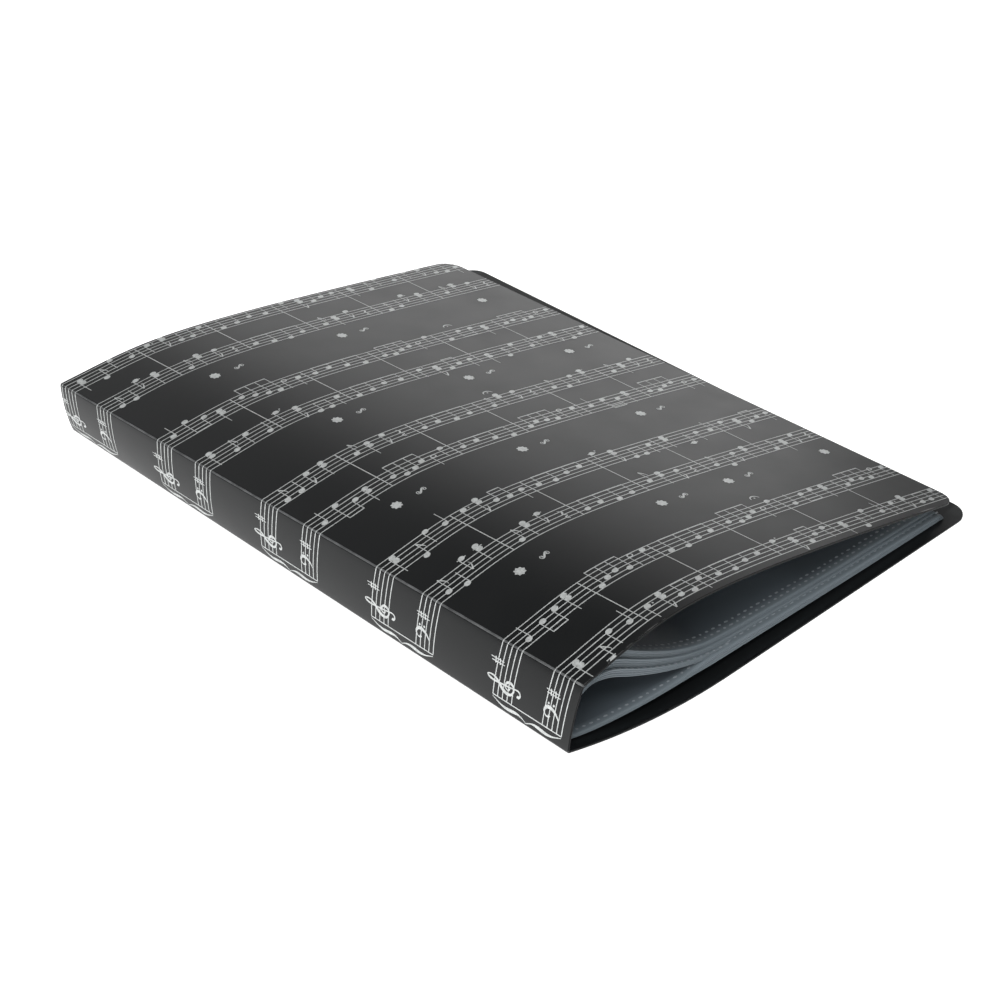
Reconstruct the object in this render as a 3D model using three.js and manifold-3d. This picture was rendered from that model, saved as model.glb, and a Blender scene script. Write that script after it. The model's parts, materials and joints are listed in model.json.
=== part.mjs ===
// A4 music folder: a soft-backed display book of clear pockets, lying closed on its back cover.
// Its black polypropylene wrapper has two pressed creases, so it is a front cover, a spine panel
// and a back cover. Staves of printed music run across the spine and over the front cover.
//
// Frame: +X from the spine to the fore edge, +Y from the tail to the head of the folder, +Z up.
// The origin is on the table, under the middle of the folder. All sizes are in millimetres.

import * as THREE from 'three';
import { mergeVertices } from 'three/addons/utils/BufferGeometryUtils.js';
import Module from 'manifold-3d';

const wasm = await Module();
wasm.setup();

// Wrapper
const coverHeight = 310; // tail to head
const boardThickness = 1.0;
const backCoverWidth = 241.7;
const backRiseReach = 90; // the back cover curves up to its crease over this width
const foreCornerRadius = 9;
const creaseClearance = 0.3;

// How the folder lies at its tail end and at its head end: the spine leans and the front cover
// bulges more at the tail, where the pockets spring up
const tailEnd = {
  creaseHeight: 14.5, // back crease above the table
  spineWidth: 27.9,
  spineLean: 15.4, // degrees, towards the fore edge
  frontReach: 224.3, // front crease to the front cover's fore edge, in plan
  foreEdgeHeight: 12.7,
  crownHeight: 14.3, // bulge of the front cover above its chord
};
const headEnd = {
  creaseHeight: 9.8,
  spineWidth: 26.0,
  spineLean: -7.1,
  frontReach: 230.5,
  foreEdgeHeight: 10.1,
  crownHeight: 7.9,
};

// Pockets: welded along the spine and across the tail, open at the head
const pocketLength = 300;
const pocketTailMargin = 6.5; // tail edge of the covers to the tail edge of the pockets
const spineWeldWidth = 4;
const spineWeldClearance = 0.8;

// Printed music
const systemCount = 5;
const printHeadMargin = 1.5; // head edge of the covers to the first staff line
const printTailMargin = 3.9; // last staff line to the tail edge of the covers
const lineSpacing = 2.4;
const staffDrop = 25.4; // treble staff to bass staff
const linesPerStaff = 5;
const staffLineWidth = 0.42;
const staffCreaseGap = 0.9; // staff lines stop short of the crease, so that it can fold right back
const barLineWidth = 0.5;
const barWidth = 38;
const barLinesPerSystem = 2; // every second bar line, as many as hold the staves together
const runBar = 3; // the bar that holds a run of notes
const notesPerRun = 4;
const notePitch = 8.5;
const noteLength = 3.2;
const noteHeight = 2.3;
const stemMeetingAngle = 50; // where the stem's left side meets the head, in degrees
const stemWidth = 0.5;
const beamWidth = 0.8;
const spineBarInset = 5.0; // system bar line above the back crease
const braceReach = 3.8;
const braceThickness = 1.4;
const braceClearance = 0.3;

// Print is built as raised ink, a little clear of the facets below it
const printClearance = 0.2;
const layerClearance = 0.3;
const inkThickness = 0.2;
const barInkShare = 0.6; // bar lines are thinner than the staff lines that they cross

// Facets
const coverSteps = 10;
const riseSteps = 8;
const lengthSteps = 8;
const spineSteps = 4;
const spineLengthSteps = 12;
const pageSteps = 18;
const pageLengthSteps = 6;
const cornerSides = 6;
const noteSides = 6;
const braceSides = 4;

// Geometry helpers
const tangentReach = 0.002; // share of a panel's width that its tangent is taken over
const bisections = 40;
const joinTolerance = 1e-5;

const halfHeight = coverHeight / 2;
const radians = THREE.MathUtils.degToRad;
const mix = THREE.MathUtils.lerp;

// Sizes of the cross-section at a place y between the two ends
function sectionAt(y) {
  const share = y / coverHeight + 0.5;
  const section = {};
  for (const name of Object.keys(tailEnd)) {
    section[name] = mix(tailEnd[name], headEnd[name], share);
  }
  return section;
}

// Crease points in the plane of the section, as (x, z), are blended in a straight line
function backCrease(y) {
  return new THREE.Vector2(0, sectionAt(y).creaseHeight);
}

function creaseTop(end) {
  const lean = radians(end.spineLean);
  return new THREE.Vector2(
    end.spineWidth * Math.sin(lean),
    end.creaseHeight + end.spineWidth * Math.cos(lean),
  );
}

function frontCrease(y) {
  return creaseTop(tailEnd).lerp(creaseTop(headEnd), y / coverHeight + 0.5);
}

// Bulge of the front cover over its chord: share of the width against share of the crown height.
// Its handles put the top of the bulge a quarter of the way across
const crownCurve = new THREE.CubicBezierCurve(
  new THREE.Vector2(0, 0),
  new THREE.Vector2(0.214, 1.07),
  new THREE.Vector2(0.2, 1.6),
  new THREE.Vector2(1, 0),
);

// The point of the crown curve that lies at a given share of the cover's width
function crownShare(share) {
  let low = -0.1;
  let high = 1.1;
  for (let step = 0; step < bisections; step += 1) {
    const middle = (low + high) / 2;
    if (crownCurve.getPoint(middle).x < share) {
      low = middle;
    } else {
      high = middle;
    }
  }
  return crownCurve.getPoint(low).y;
}

// Outer faces of the three panels, each at a share of its width from its crease
function frontOuter(share, y) {
  const crease = frontCrease(y);
  const section = sectionAt(y);
  return new THREE.Vector2(
    crease.x + share * section.frontReach,
    mix(crease.y, section.foreEdgeHeight, share) + section.crownHeight * crownShare(share),
  );
}

function backOuter(share, y) {
  const x = share * backCoverWidth;
  const rise = Math.max(0, 1 - x / backRiseReach);
  return new THREE.Vector2(x, sectionAt(y).creaseHeight * rise * rise);
}

function spineOuter(share, y) {
  return backCrease(y).lerp(frontCrease(y), share);
}

// Unit tangent of a panel, along its growing share
function tangentOf(panel, share, y) {
  const from = panel(Math.max(0, share - tangentReach), y);
  return panel(share + tangentReach, y).sub(from).normalize();
}

// Outward normals: to the left of the tangent on the front cover and the spine, right on the back
function offset(panel, share, y, distance, side) {
  const along = tangentOf(panel, share, y);
  const normal = new THREE.Vector2(-along.y, along.x).multiplyScalar(side * distance);
  return panel(share, y).add(normal);
}

const frontInner = (share, y) => offset(frontOuter, share, y, boardThickness, -1);
const backInner = (share, y) => offset(backOuter, share, y, boardThickness, 1);

// Mitred end of a panel at a crease: its outer and inner corner, half the clearance short
function mitre(corner, along, other) {
  const half = Math.acos(THREE.MathUtils.clamp(along.dot(other), -1, 1)) / 2;
  const setBack = along.clone().multiplyScalar(creaseClearance / 2 / Math.sin(half));
  const inward = along.clone().add(other).normalize();
  const outer = corner.clone().add(setBack);
  const inner = outer.clone().addScaledVector(inward, boardThickness / Math.sin(half));
  return { outer, inner };
}

function frontMitre(y) {
  const down = frontCrease(y).sub(backCrease(y)).normalize().negate();
  return mitre(frontCrease(y), tangentOf(frontOuter, 0, y), down);
}

function backMitre(y) {
  const up = frontCrease(y).sub(backCrease(y)).normalize();
  return mitre(backCrease(y), tangentOf(backOuter, 0, y), up);
}

function spineMitres(y) {
  const up = frontCrease(y).sub(backCrease(y)).normalize();
  const bottom = mitre(backCrease(y), up, tangentOf(backOuter, 0, y));
  const top = mitre(frontCrease(y), up.clone().negate(), tangentOf(frontOuter, 0, y));
  return [bottom, top];
}

// A closed slab between two skins. lower(i, y) and upper(i, y) give the skins' points, as (x, z),
// at station i of the section
function slab(steps, yFrom, yTo, ySteps, lower, upper) {
  const geometry = new THREE.BoxGeometry(1, 1, 1, steps, ySteps, 1);
  const position = geometry.attributes.position;
  for (let i = 0; i < position.count; i += 1) {
    const station = Math.round((position.getX(i) + 0.5) * steps);
    const y = mix(yFrom, yTo, position.getY(i) + 0.5);
    const skin = position.getZ(i) > 0 ? upper : lower;
    const point = skin(station, y);
    position.setXYZ(i, point.x, y, point.y);
  }
  return geometry;
}

// Solids for joining and cutting, and back to geometry
function solid(geometry) {
  const bare = geometry.index ? geometry.clone() : geometry;
  bare.deleteAttribute('normal');
  bare.deleteAttribute('uv');
  const merged = mergeVertices(bare, joinTolerance);
  const mesh = new wasm.Mesh({
    numProp: 3,
    vertProperties: new Float32Array(merged.attributes.position.array),
    triVerts: new Uint32Array(merged.index.array),
  });
  return new wasm.Manifold(mesh);
}

function geometryOf(manifold) {
  const mesh = manifold.getMesh();
  const geometry = new THREE.BufferGeometry();
  geometry.setAttribute('position', new THREE.BufferAttribute(mesh.vertProperties, 3));
  geometry.setIndex(new THREE.BufferAttribute(mesh.triVerts, 1));
  geometry.computeVertexNormals();
  return geometry;
}

// Upright block with a cover's plan outline: square well past the crease, and round at the two
// fore corners. It reaches far above and below the cover, which it cuts
function planBlock(foreTail, foreHead, inset) {
  const creaseSide = -backCoverWidth / 4;
  const tail = -halfHeight + inset;
  const head = halfHeight - inset;
  const radius = foreCornerRadius - inset;
  const outline = new THREE.Shape();
  outline.moveTo(creaseSide, tail);
  outline.lineTo(foreTail - inset - radius, tail);
  outline.absarc(foreTail - inset - radius, tail + radius, radius, -Math.PI / 2, 0, false);
  outline.absarc(foreHead - inset - radius, head - radius, radius, 0, Math.PI / 2, false);
  outline.lineTo(creaseSide, head);
  const height = backCoverWidth;
  const shape = { depth: height, bevelEnabled: false, curveSegments: cornerSides };
  const block = new THREE.ExtrudeGeometry(outline, shape);
  block.translate(0, 0, -height / 4);
  return solid(block);
}

const frontFore = (y) => frontOuter(1, y).x;
const frontPlan = planBlock(frontFore(-halfHeight), frontFore(halfHeight), 0);
const frontPrintPlan = planBlock(frontFore(-halfHeight), frontFore(halfHeight), inkThickness);
const backPlan = planBlock(backCoverWidth, backCoverWidth, 0);

// Covers are bent a little oversize and cut to their outline
const trimAllowance = 1;
const trimShare = trimAllowance / backCoverWidth;

// Shares of the front cover's width where its facets meet, closest where it bends most
const frontStations = [];
for (let i = 0; i <= coverSteps; i += 1) {
  frontStations.push(crownCurve.getPoint(i / coverSteps).x);
}
frontStations[coverSteps] = 1 + trimShare;

function frontCoverGeometry() {
  const reach = halfHeight + trimAllowance;
  const upper = (i, y) => (i === 0 ? frontMitre(y).outer : frontOuter(frontStations[i], y));
  const lower = (i, y) => (i === 0 ? frontMitre(y).inner : frontInner(frontStations[i], y));
  const sheet = slab(coverSteps, -reach, reach, lengthSteps, lower, upper);
  return geometryOf(solid(sheet).intersect(frontPlan));
}

function backShareAt(i) {
  const riseShare = backRiseReach / backCoverWidth;
  return i <= riseSteps ? (riseShare * i) / riseSteps : 1 + trimShare;
}

function backCoverGeometry() {
  const reach = halfHeight + trimAllowance;
  const upper = (i, y) => (i === 0 ? backMitre(y).inner : backInner(backShareAt(i), y));
  const lower = (i, y) => (i === 0 ? backMitre(y).outer : backOuter(backShareAt(i), y));
  const sheet = slab(riseSteps + 1, -reach, reach, lengthSteps, lower, upper);
  return geometryOf(solid(sheet).intersect(backPlan));
}

function spinePanelGeometry() {
  const skin = (face) => (i, y) => {
    const [bottom, top] = spineMitres(y);
    return bottom[face].clone().lerp(top[face], i / spineSteps);
  };
  const steps = spineLengthSteps;
  return slab(spineSteps, -halfHeight, halfHeight, steps, skin('inner'), skin('outer'));
}

// A point of the space between the covers: share of the width from the spine, and share of the
// way from the back cover up to the front cover
function between(widthShare, heightShare, y) {
  return backInner(widthShare, y).lerp(frontInner(widthShare, y), heightShare);
}

function pageCurve(points) {
  return new THREE.SplineCurve(points.map(([across, up]) => new THREE.Vector2(across, up)));
}

// Faces of the two bundles of pockets, each point as shares of the space between the covers. The
// upper bundle springs up from the spine and falls to the lower one, which lies on the back cover
const pocketForeShare = 0.95;
const upperBundleTop = pageCurve([
  [0.012, 0.72], [0.04, 0.765], [0.079, 0.8], [0.1185, 0.78], [0.198, 0.546], [0.264, 0.39],
  [0.316, 0.3], [0.35, 0.258], [0.514, 0.219], [0.707, 0.21], [pocketForeShare, 0.28],
]);
const upperBundleFloor = pageCurve([
  [0.012, 0.46], [0.035, 0.577], [0.06, 0.647], [0.098, 0.588], [0.153, 0.439], [0.216, 0.312],
  [0.283, 0.217], [0.35, 0.151], [0.514, 0.11], [0.707, 0.115], [pocketForeShare, 0.133],
]);
const lowerBundleTop = pageCurve([
  [0.012, 0.06], [0.066, 0.062], [0.145, 0.09], [0.28, 0.128], [0.35, 0.17], [0.514, 0.16],
  [0.707, 0.16], [pocketForeShare, 0.2],
]);
const lowerBundleFloor = pageCurve([
  [0.012, 0.02], [0.066, 0.03], [0.145, 0.056], [0.28, 0.094], [0.35, 0.092], [0.514, 0.078],
  [0.707, 0.057], [pocketForeShare, 0.035],
]);

function pocketPagesGeometry() {
  const tail = -halfHeight + pocketTailMargin;
  const head = tail + pocketLength;
  const skin = (curve) => (i, y) => {
    const shares = curve.getPoint(i / pageSteps);
    return between(shares.x, shares.y, y);
  };
  const bundle = (floor, top) => solid(
    slab(pageSteps, tail, head, pageLengthSteps, skin(floor), skin(top)),
  );
  const weldShares = [
    (boardThickness + spineWeldClearance) / backCoverWidth,
    (boardThickness + spineWeldClearance + spineWeldWidth) / backCoverWidth,
  ];
  const weldFloor = (i, y) => between(weldShares[i], lowerBundleFloor.getPoint(0).y, y);
  const weldTop = (i, y) => between(weldShares[i], upperBundleTop.getPoint(0).y, y);
  const weld = solid(slab(1, tail, head, pageLengthSteps, weldFloor, weldTop));
  const upper = bundle(upperBundleFloor, upperBundleTop);
  const lower = bundle(lowerBundleFloor, lowerBundleTop);
  return geometryOf(weld.add(upper).add(lower));
}

// Print is laid on a panel at (across, y): across runs from the panel's crease, in millimetres
const frontPrintReach = (tailEnd.frontReach + headEnd.frontReach) / 2;
const spinePrintReach = (tailEnd.spineWidth + headEnd.spineWidth) / 2;

const onFront = (across, y, lift) => offset(frontOuter, across / frontPrintReach, y, lift, 1);
const onSpine = (across, y, lift) => offset(spineOuter, across / spinePrintReach, y, lift, 1);

// Signs are printed over the staves, a layer higher
const staveLift = printClearance;
const signLift = printClearance + inkThickness + layerClearance;

// Wraps a flat shape, drawn in (across, y) and extruded from 0 to 1, round a panel as ink
function wrapInk(geometry, onPanel, baseLift, inkShare = 1) {
  const position = geometry.attributes.position;
  for (let i = 0; i < position.count; i += 1) {
    const y = position.getY(i);
    const lift = baseLift + position.getZ(i) * inkThickness * inkShare;
    const point = onPanel(position.getX(i), y, lift);
    position.setXYZ(i, point.x, y, point.y);
  }
  return solid(geometry);
}

function inkRectangle(acrossFrom, acrossTo, yFrom, yTo, onPanel, baseLift, inkShare) {
  const geometry = new THREE.BoxGeometry(acrossTo - acrossFrom, yTo - yFrom, 1);
  geometry.translate((acrossFrom + acrossTo) / 2, (yFrom + yTo) / 2, 0.5);
  return wrapInk(geometry, onPanel, baseLift, inkShare);
}

// A staff line over the front cover bends at the same stations as the cover's facets
function frontStaffLine(y) {
  const start = staffCreaseGap / frontPrintReach;
  const skin = (lift) => (i, yAt) => {
    const share = i === 0 ? start : frontStations[i];
    return offset(frontOuter, share, yAt, lift, 1);
  };
  const from = y - staffLineWidth / 2;
  const to = y + staffLineWidth / 2;
  return solid(slab(coverSteps, from, to, 1, skin(staveLift), skin(staveLift + inkThickness)));
}

// The systems share out the height of the covers between the two margins
const systemHeight = staffDrop + (linesPerStaff - 1) * lineSpacing;
const firstStaffLine = halfHeight - printHeadMargin;
const systemRun = coverHeight - printHeadMargin - printTailMargin - systemHeight;
const systemPitch = systemRun / (systemCount - 1);

const systemTop = (system) => firstStaffLine - system * systemPitch;
const staffTop = (system, staff) => systemTop(system) - staff * staffDrop;
const staffFoot = (system, staff) => staffTop(system, staff) - (linesPerStaff - 1) * lineSpacing;

function staffLineHeights(system) {
  const heights = [];
  for (const staff of [0, 1]) {
    for (let line = 0; line < linesPerStaff; line += 1) {
      heights.push(staffTop(system, staff) - line * lineSpacing);
    }
  }
  return heights;
}

function barLine(system, across, onPanel) {
  const half = barLineWidth / 2;
  const foot = staffFoot(system, 1) - staffLineWidth / 2;
  const top = systemTop(system) + staffLineWidth / 2;
  const lift = staveLift + (inkThickness * (1 - barInkShare)) / 2;
  return inkRectangle(across - half, across + half, foot, top, onPanel, lift, barInkShare);
}

function frontStavesGeometry(system) {
  const pieces = staffLineHeights(system).map(frontStaffLine);
  for (let line = 1; line <= barLinesPerSystem; line += 1) {
    pieces.push(barLine(system, 2 * line * barWidth, onFront));
  }
  return geometryOf(wasm.Manifold.union(pieces).intersect(frontPrintPlan));
}

function spineStavesGeometry(system) {
  const half = staffLineWidth / 2;
  const end = spinePrintReach - staffCreaseGap;
  const pieces = staffLineHeights(system).map(
    (y) => inkRectangle(spineBarInset, end, y - half, y + half, onSpine, staveLift, 1),
  );
  pieces.push(barLine(system, spineBarInset, onSpine));
  return geometryOf(wasm.Manifold.union(pieces));
}

// Height of a note, in half spaces above the bottom line. The tune is a plain run that rises
// and falls, and starts at another place in each staff
const tune = [1, 2, 4, 3, 2, 4, 5, 3, 1, 0, 2, 3];

function noteY(system, staff, index) {
  const step = tune[(index + 5 * system + 7 * staff) % tune.length];
  return staffFoot(system, staff) + (step * lineSpacing) / 2;
}

// Rim of a note head from its stem's left side, round the head, to its stem's right side
function noteHeadRim(stem, y) {
  const rim = [];
  const centre = stem - (noteLength - stemWidth) / 2;
  for (let side = 0; side <= noteSides; side += 1) {
    const angle = mix(radians(stemMeetingAngle), 2 * Math.PI, side / noteSides);
    const across = centre + (noteLength / 2) * Math.cos(angle);
    rim.push(new THREE.Vector2(across, y + (noteHeight / 2) * Math.sin(angle)));
  }
  rim[0].x = stem - stemWidth / 2;
  rim[noteSides].x = stem + stemWidth / 2;
  return rim;
}

// A run of notes whose stems share one beam, in the middle of its bar
function noteRunGeometry(system, staff) {
  const first = (runBar - 0.5) * barWidth - ((notesPerRun - 1) * notePitch) / 2;
  const beamTop = staffTop(system, staff) + beamWidth / 2;
  const under = [];
  const over = [];
  for (let index = 0; index < notesPerRun; index += 1) {
    const stem = first + index * notePitch;
    const left = stem - stemWidth / 2;
    const right = stem + stemWidth / 2;
    under.push(new THREE.Vector2(left, beamTop - beamWidth));
    under.push(...noteHeadRim(stem, noteY(system, staff, index)));
    under.push(new THREE.Vector2(right, beamTop - beamWidth));
    over.unshift(new THREE.Vector2(right, beamTop), new THREE.Vector2(left, beamTop));
  }
  const outline = new THREE.Shape([...under, ...over]);
  const run = new THREE.ExtrudeGeometry(outline, { depth: 1, bevelEnabled: false });
  return geometryOf(wrapInk(run, onFront, signLift));
}

// Brace outside the system bar line: two hooks that meet in a point at the middle
function braceGeometry(system) {
  const root = spineBarInset - barLineWidth / 2 - braceClearance;
  const tip = root - braceReach;
  const belly = root - braceReach / 2;
  const top = systemTop(system);
  const foot = staffFoot(system, 1);
  const middle = (top + foot) / 2;
  const quarter = (top - foot) / 4;
  const fat = braceThickness;
  const outline = new THREE.Shape();
  outline.moveTo(root, top);
  outline.bezierCurveTo(belly - fat, top - quarter / 2, root - fat, middle + quarter / 2, tip, middle);
  outline.bezierCurveTo(root - fat, middle - quarter / 2, belly - fat, foot + quarter / 2, root, foot);
  outline.bezierCurveTo(belly, foot + quarter / 2, root, middle - quarter / 2, tip + fat / 2, middle);
  outline.bezierCurveTo(root, middle + quarter / 2, belly, top - quarter / 2, root, top);
  const shape = { depth: 1, bevelEnabled: false, curveSegments: braceSides };
  return geometryOf(wrapInk(new THREE.ExtrudeGeometry(outline, shape), onSpine, staveLift));
}

// Materials
const board = new THREE.MeshStandardMaterial({ color: 0x1c1c1d, roughness: 0.42, metalness: 0 });
const film = new THREE.MeshStandardMaterial({ color: 0x5c6670, roughness: 0.3, metalness: 0 });
const ink = new THREE.MeshStandardMaterial({ color: 0xb4b5b1, roughness: 0.5, metalness: 0 });

const folder = new THREE.Group();

function addNode(name, geometry, material) {
  const mesh = new THREE.Mesh(geometry, material);
  mesh.name = name;
  folder.add(mesh);
}

addNode('front_cover', frontCoverGeometry(), board);
addNode('spine_panel', spinePanelGeometry(), board);
addNode('back_cover', backCoverGeometry(), board);
addNode('pocket_pages', pocketPagesGeometry(), film);
for (let system = 0; system < systemCount; system += 1) {
  const number = system + 1;
  addNode(`front_staves_${number}`, frontStavesGeometry(system), ink);
  addNode(`spine_staves_${number}`, spineStavesGeometry(system), ink);
  addNode(`spine_brace_${number}`, braceGeometry(system), ink);
  addNode(`treble_run_${number}`, noteRunGeometry(system, 0), ink);
  addNode(`bass_run_${number}`, noteRunGeometry(system, 1), ink);
}

// The origin stands under the middle of the folder
const bounds = new THREE.Box3().setFromObject(folder);
const centre = bounds.getCenter(new THREE.Vector3());
folder.position.set(-centre.x, -centre.y, -bounds.min.z);

export default folder;
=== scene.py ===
# Music folder: a soft-backed display book of clear pockets, lying closed on its back cover.
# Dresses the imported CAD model: the wrapper and its creases, the printed music, the pockets.
# All lengths are in metres, in the frame of the CAD model: +X from the spine to the fore edge,
# +Y from the tail to the head of the folder, +Z up from the table.

import json
import math

import bmesh
import bpy
from bpy.props import FloatProperty, FloatVectorProperty, IntProperty, PointerProperty
from mathutils import Matrix, Vector
from mathutils.geometry import tessellate_polygon


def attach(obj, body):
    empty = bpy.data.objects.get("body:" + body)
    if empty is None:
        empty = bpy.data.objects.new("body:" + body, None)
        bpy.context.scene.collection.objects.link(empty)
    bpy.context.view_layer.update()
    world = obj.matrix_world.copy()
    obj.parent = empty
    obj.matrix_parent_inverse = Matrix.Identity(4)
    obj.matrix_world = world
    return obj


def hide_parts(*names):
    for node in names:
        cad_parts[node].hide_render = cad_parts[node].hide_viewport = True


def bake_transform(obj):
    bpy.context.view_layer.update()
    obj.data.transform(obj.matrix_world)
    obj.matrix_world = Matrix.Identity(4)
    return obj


bl_info = {
    "name": "Music Folder",
    "version": (1, 0, 0),
    "blender": (4, 5, 0),
    "location": "View3D > Sidebar > Music Folder",
    "description": "Builds the looks of a music folder over its packed CAD model",
    "category": "Object",
}

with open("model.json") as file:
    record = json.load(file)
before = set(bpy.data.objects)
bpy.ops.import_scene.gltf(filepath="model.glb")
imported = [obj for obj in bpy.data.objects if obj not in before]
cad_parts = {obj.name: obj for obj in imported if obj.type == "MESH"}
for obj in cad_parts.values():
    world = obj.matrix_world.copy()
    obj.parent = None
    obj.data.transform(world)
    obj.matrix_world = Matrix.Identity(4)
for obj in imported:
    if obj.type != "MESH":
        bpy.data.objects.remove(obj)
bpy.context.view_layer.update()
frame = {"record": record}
joints = {joint["name"]: joint for joint in frame["record"]["behaviour"]["joints"]}

MM = 0.001
crease_x = joints["back_crease"]["pos_m"][0]


# Settings


class WrapperSettings(bpy.types.PropertyGroup):
    cover_height: FloatProperty(
        name="Cover height",
        description="From the tail to the head of the covers",
        default=310 * MM,
        unit="LENGTH",
    )
    back_cover_width: FloatProperty(
        name="Back cover width",
        description="From the back crease to the fore edge",
        default=243.4 * MM,
        unit="LENGTH",
    )
    board_thickness: FloatProperty(
        name="Board thickness",
        description="Thickness of the polypropylene sheet",
        default=1.0 * MM,
        unit="LENGTH",
    )
    corner_radius: FloatProperty(
        name="Corner radius",
        description="Radius of the four fore corners of the covers",
        default=9 * MM,
        unit="LENGTH",
    )
    edge_softness: FloatProperty(
        name="Edge softness",
        description="How far the cut edges of the sheet are rounded",
        default=0.25 * MM,
        unit="LENGTH",
    )
    crease_width: FloatProperty(
        name="Crease width",
        description="Width of the pressed band on each side of a crease",
        default=0.6 * MM,
        unit="LENGTH",
    )
    crease_depth: FloatProperty(
        name="Crease depth",
        description="How deep the band is pressed into the sheet",
        default=0.1 * MM,
        unit="LENGTH",
    )
    spine_bulge: FloatProperty(
        name="Spine bulge",
        description="How far the middle of the spine swells outwards",
        default=1.0 * MM,
        unit="LENGTH",
    )


class PocketSettings(bpy.types.PropertyGroup):
    upper_leaves: IntProperty(
        name="Upper leaves",
        description="Number of pockets in the bundle that springs up from the spine",
        default=20,
        min=3,
    )
    lower_leaves: IntProperty(
        name="Lower leaves",
        description="Number of pockets in the bundle on the back cover",
        default=6,
        min=2,
    )
    leaf_share: FloatProperty(
        name="Leaf share",
        description="Share of a bundle's thickness that is film and not air",
        default=0.9,
        subtype="FACTOR",
        min=0.1,
        max=0.9,
    )
    length: FloatProperty(
        name="Pocket length",
        description="From the tail edge to the mouth of a pocket",
        default=300 * MM,
        unit="LENGTH",
    )
    tail_margin: FloatProperty(
        name="Tail margin",
        description="From the tail edge of the covers to the tail edge of the pockets",
        default=6.5 * MM,
        unit="LENGTH",
    )
    weld_margin: FloatProperty(
        name="Weld margin",
        description="From the tail edge of a pocket to its dotted weld",
        default=2.6 * MM,
        unit="LENGTH",
    )
    frost_reach: FloatProperty(
        name="Frost reach",
        description="How far the film is frosted, from its tail edge",
        default=4.8 * MM,
        unit="LENGTH",
    )
    dot_pitch: FloatProperty(
        name="Dot pitch",
        description="From one dot of the weld to the next",
        default=3.8 * MM,
        unit="LENGTH",
    )
    dot_length: FloatProperty(
        name="Dot length",
        description="Length of a dot of the weld",
        default=2.3 * MM,
        unit="LENGTH",
    )
    dot_width: FloatProperty(
        name="Dot width",
        description="Width of a dot of the weld",
        default=1.15 * MM,
        unit="LENGTH",
    )


class PrintSettings(bpy.types.PropertyGroup):
    line_spacing: FloatProperty(
        name="Line spacing",
        description="From one line of a staff to the next",
        default=2.4 * MM,
        unit="LENGTH",
    )
    line_width: FloatProperty(
        name="Line width",
        description="Width of a staff line",
        default=0.43 * MM,
        unit="LENGTH",
    )
    bar_width: FloatProperty(
        name="Bar width",
        description="From one bar line to the next",
        default=38 * MM,
        unit="LENGTH",
    )
    ink_lift: FloatProperty(
        name="Ink lift",
        description="Height of the ink above the sheet",
        default=0.05 * MM,
        unit="LENGTH",
    )


class FinishSettings(bpy.types.PropertyGroup):
    cover_color: FloatVectorProperty(
        name="Cover",
        description="Colour of the satin black polypropylene",
        default=(0.0050, 0.0056, 0.0060, 1.0),
        subtype="COLOR",
        size=4,
        min=0,
        max=1,
    )
    # Paler colour of rubbed cut edges, which is also painted over the creases as a highlight
    rub_and_highlight_color: FloatVectorProperty(
        name="Rubbed edge and crease highlight",
        description="Colour of the polypropylene where it is rubbed or bent",
        default=(0.100, 0.103, 0.105, 1.0),
        subtype="COLOR",
        size=4,
        min=0,
        max=1,
    )
    film_color: FloatVectorProperty(
        name="Pocket film",
        description="Colour of a stack of clear film",
        default=(0.060, 0.073, 0.084, 1.0),
        subtype="COLOR",
        size=4,
        min=0,
        max=1,
    )
    margin_color: FloatVectorProperty(
        name="Frosted film",
        description="Colour of the film towards its cut tail edge",
        default=(0.13, 0.155, 0.172, 1.0),
        subtype="COLOR",
        size=4,
        min=0,
        max=1,
    )
    weld_color: FloatVectorProperty(
        name="Weld",
        description="Colour of the frosted dots of a weld",
        default=(0.23, 0.255, 0.275, 1.0),
        subtype="COLOR",
        size=4,
        min=0,
        max=1,
    )
    ink_color: FloatVectorProperty(
        name="Ink",
        description="Colour of the silver-grey screen print",
        default=(0.54, 0.558, 0.552, 1.0),
        subtype="COLOR",
        size=4,
        min=0,
        max=1,
    )


class StageSettings(bpy.types.PropertyGroup):
    camera_place: FloatVectorProperty(
        name="Camera",
        description="Where the photograph was taken from",
        default=(-522.496 * MM, -549.908 * MM, 509.840 * MM),
        subtype="TRANSLATION",
        unit="LENGTH",
        size=3,
    )
    lens: FloatProperty(
        name="Lens",
        description="Focal length on a 36 mm sensor, in millimetres",
        default=75.53,
        unit="CAMERA",
    )
    key_power: FloatProperty(
        name="Key light",
        description="Power of the large soft light to the left of the camera",
        default=58,
        unit="POWER",
    )
    overhead_power: FloatProperty(
        name="Overhead light",
        description="Power of the soft light above the camera",
        default=46,
        unit="POWER",
    )
    backdrop_power: FloatProperty(
        name="Backdrop light",
        description="Power of the low white panel beyond the fore edge",
        default=5.0,
        unit="POWER",
    )
    upper_backdrop_power: FloatProperty(
        name="Upper backdrop light",
        description="Power of the dimmer panel above the backdrop light",
        default=3.3,
        unit="POWER",
    )
    sky_strength: FloatProperty(
        name="Surrounding light",
        description="Brightness of the even light from all round",
        default=0.14,
        subtype="FACTOR",
        min=0,
        max=1,
    )


# How the folder lies, at its tail end and at its head end
TAIL_END = {
    "crease_height": 14.5 * MM,
    "spine_width": 27.9 * MM,
    "spine_lean": math.radians(15.4),
    "front_reach": 224.3 * MM,
    "fore_height": 12.7 * MM,
    "crown_height": 14.3 * MM,
}
HEAD_END = {
    "crease_height": 9.8 * MM,
    "spine_width": 26.0 * MM,
    "spine_lean": math.radians(-7.1),
    "front_reach": 230.5 * MM,
    "fore_height": 10.1 * MM,
    "crown_height": 7.9 * MM,
}
# How far from its crease the back cover starts to lie flat
back_rise_reach = 90 * MM
mitre_clearance = 0.3 * MM
# Share of a panel over which its direction is taken
tangent_reach = 0.002

crown_halvings = 40

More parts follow.
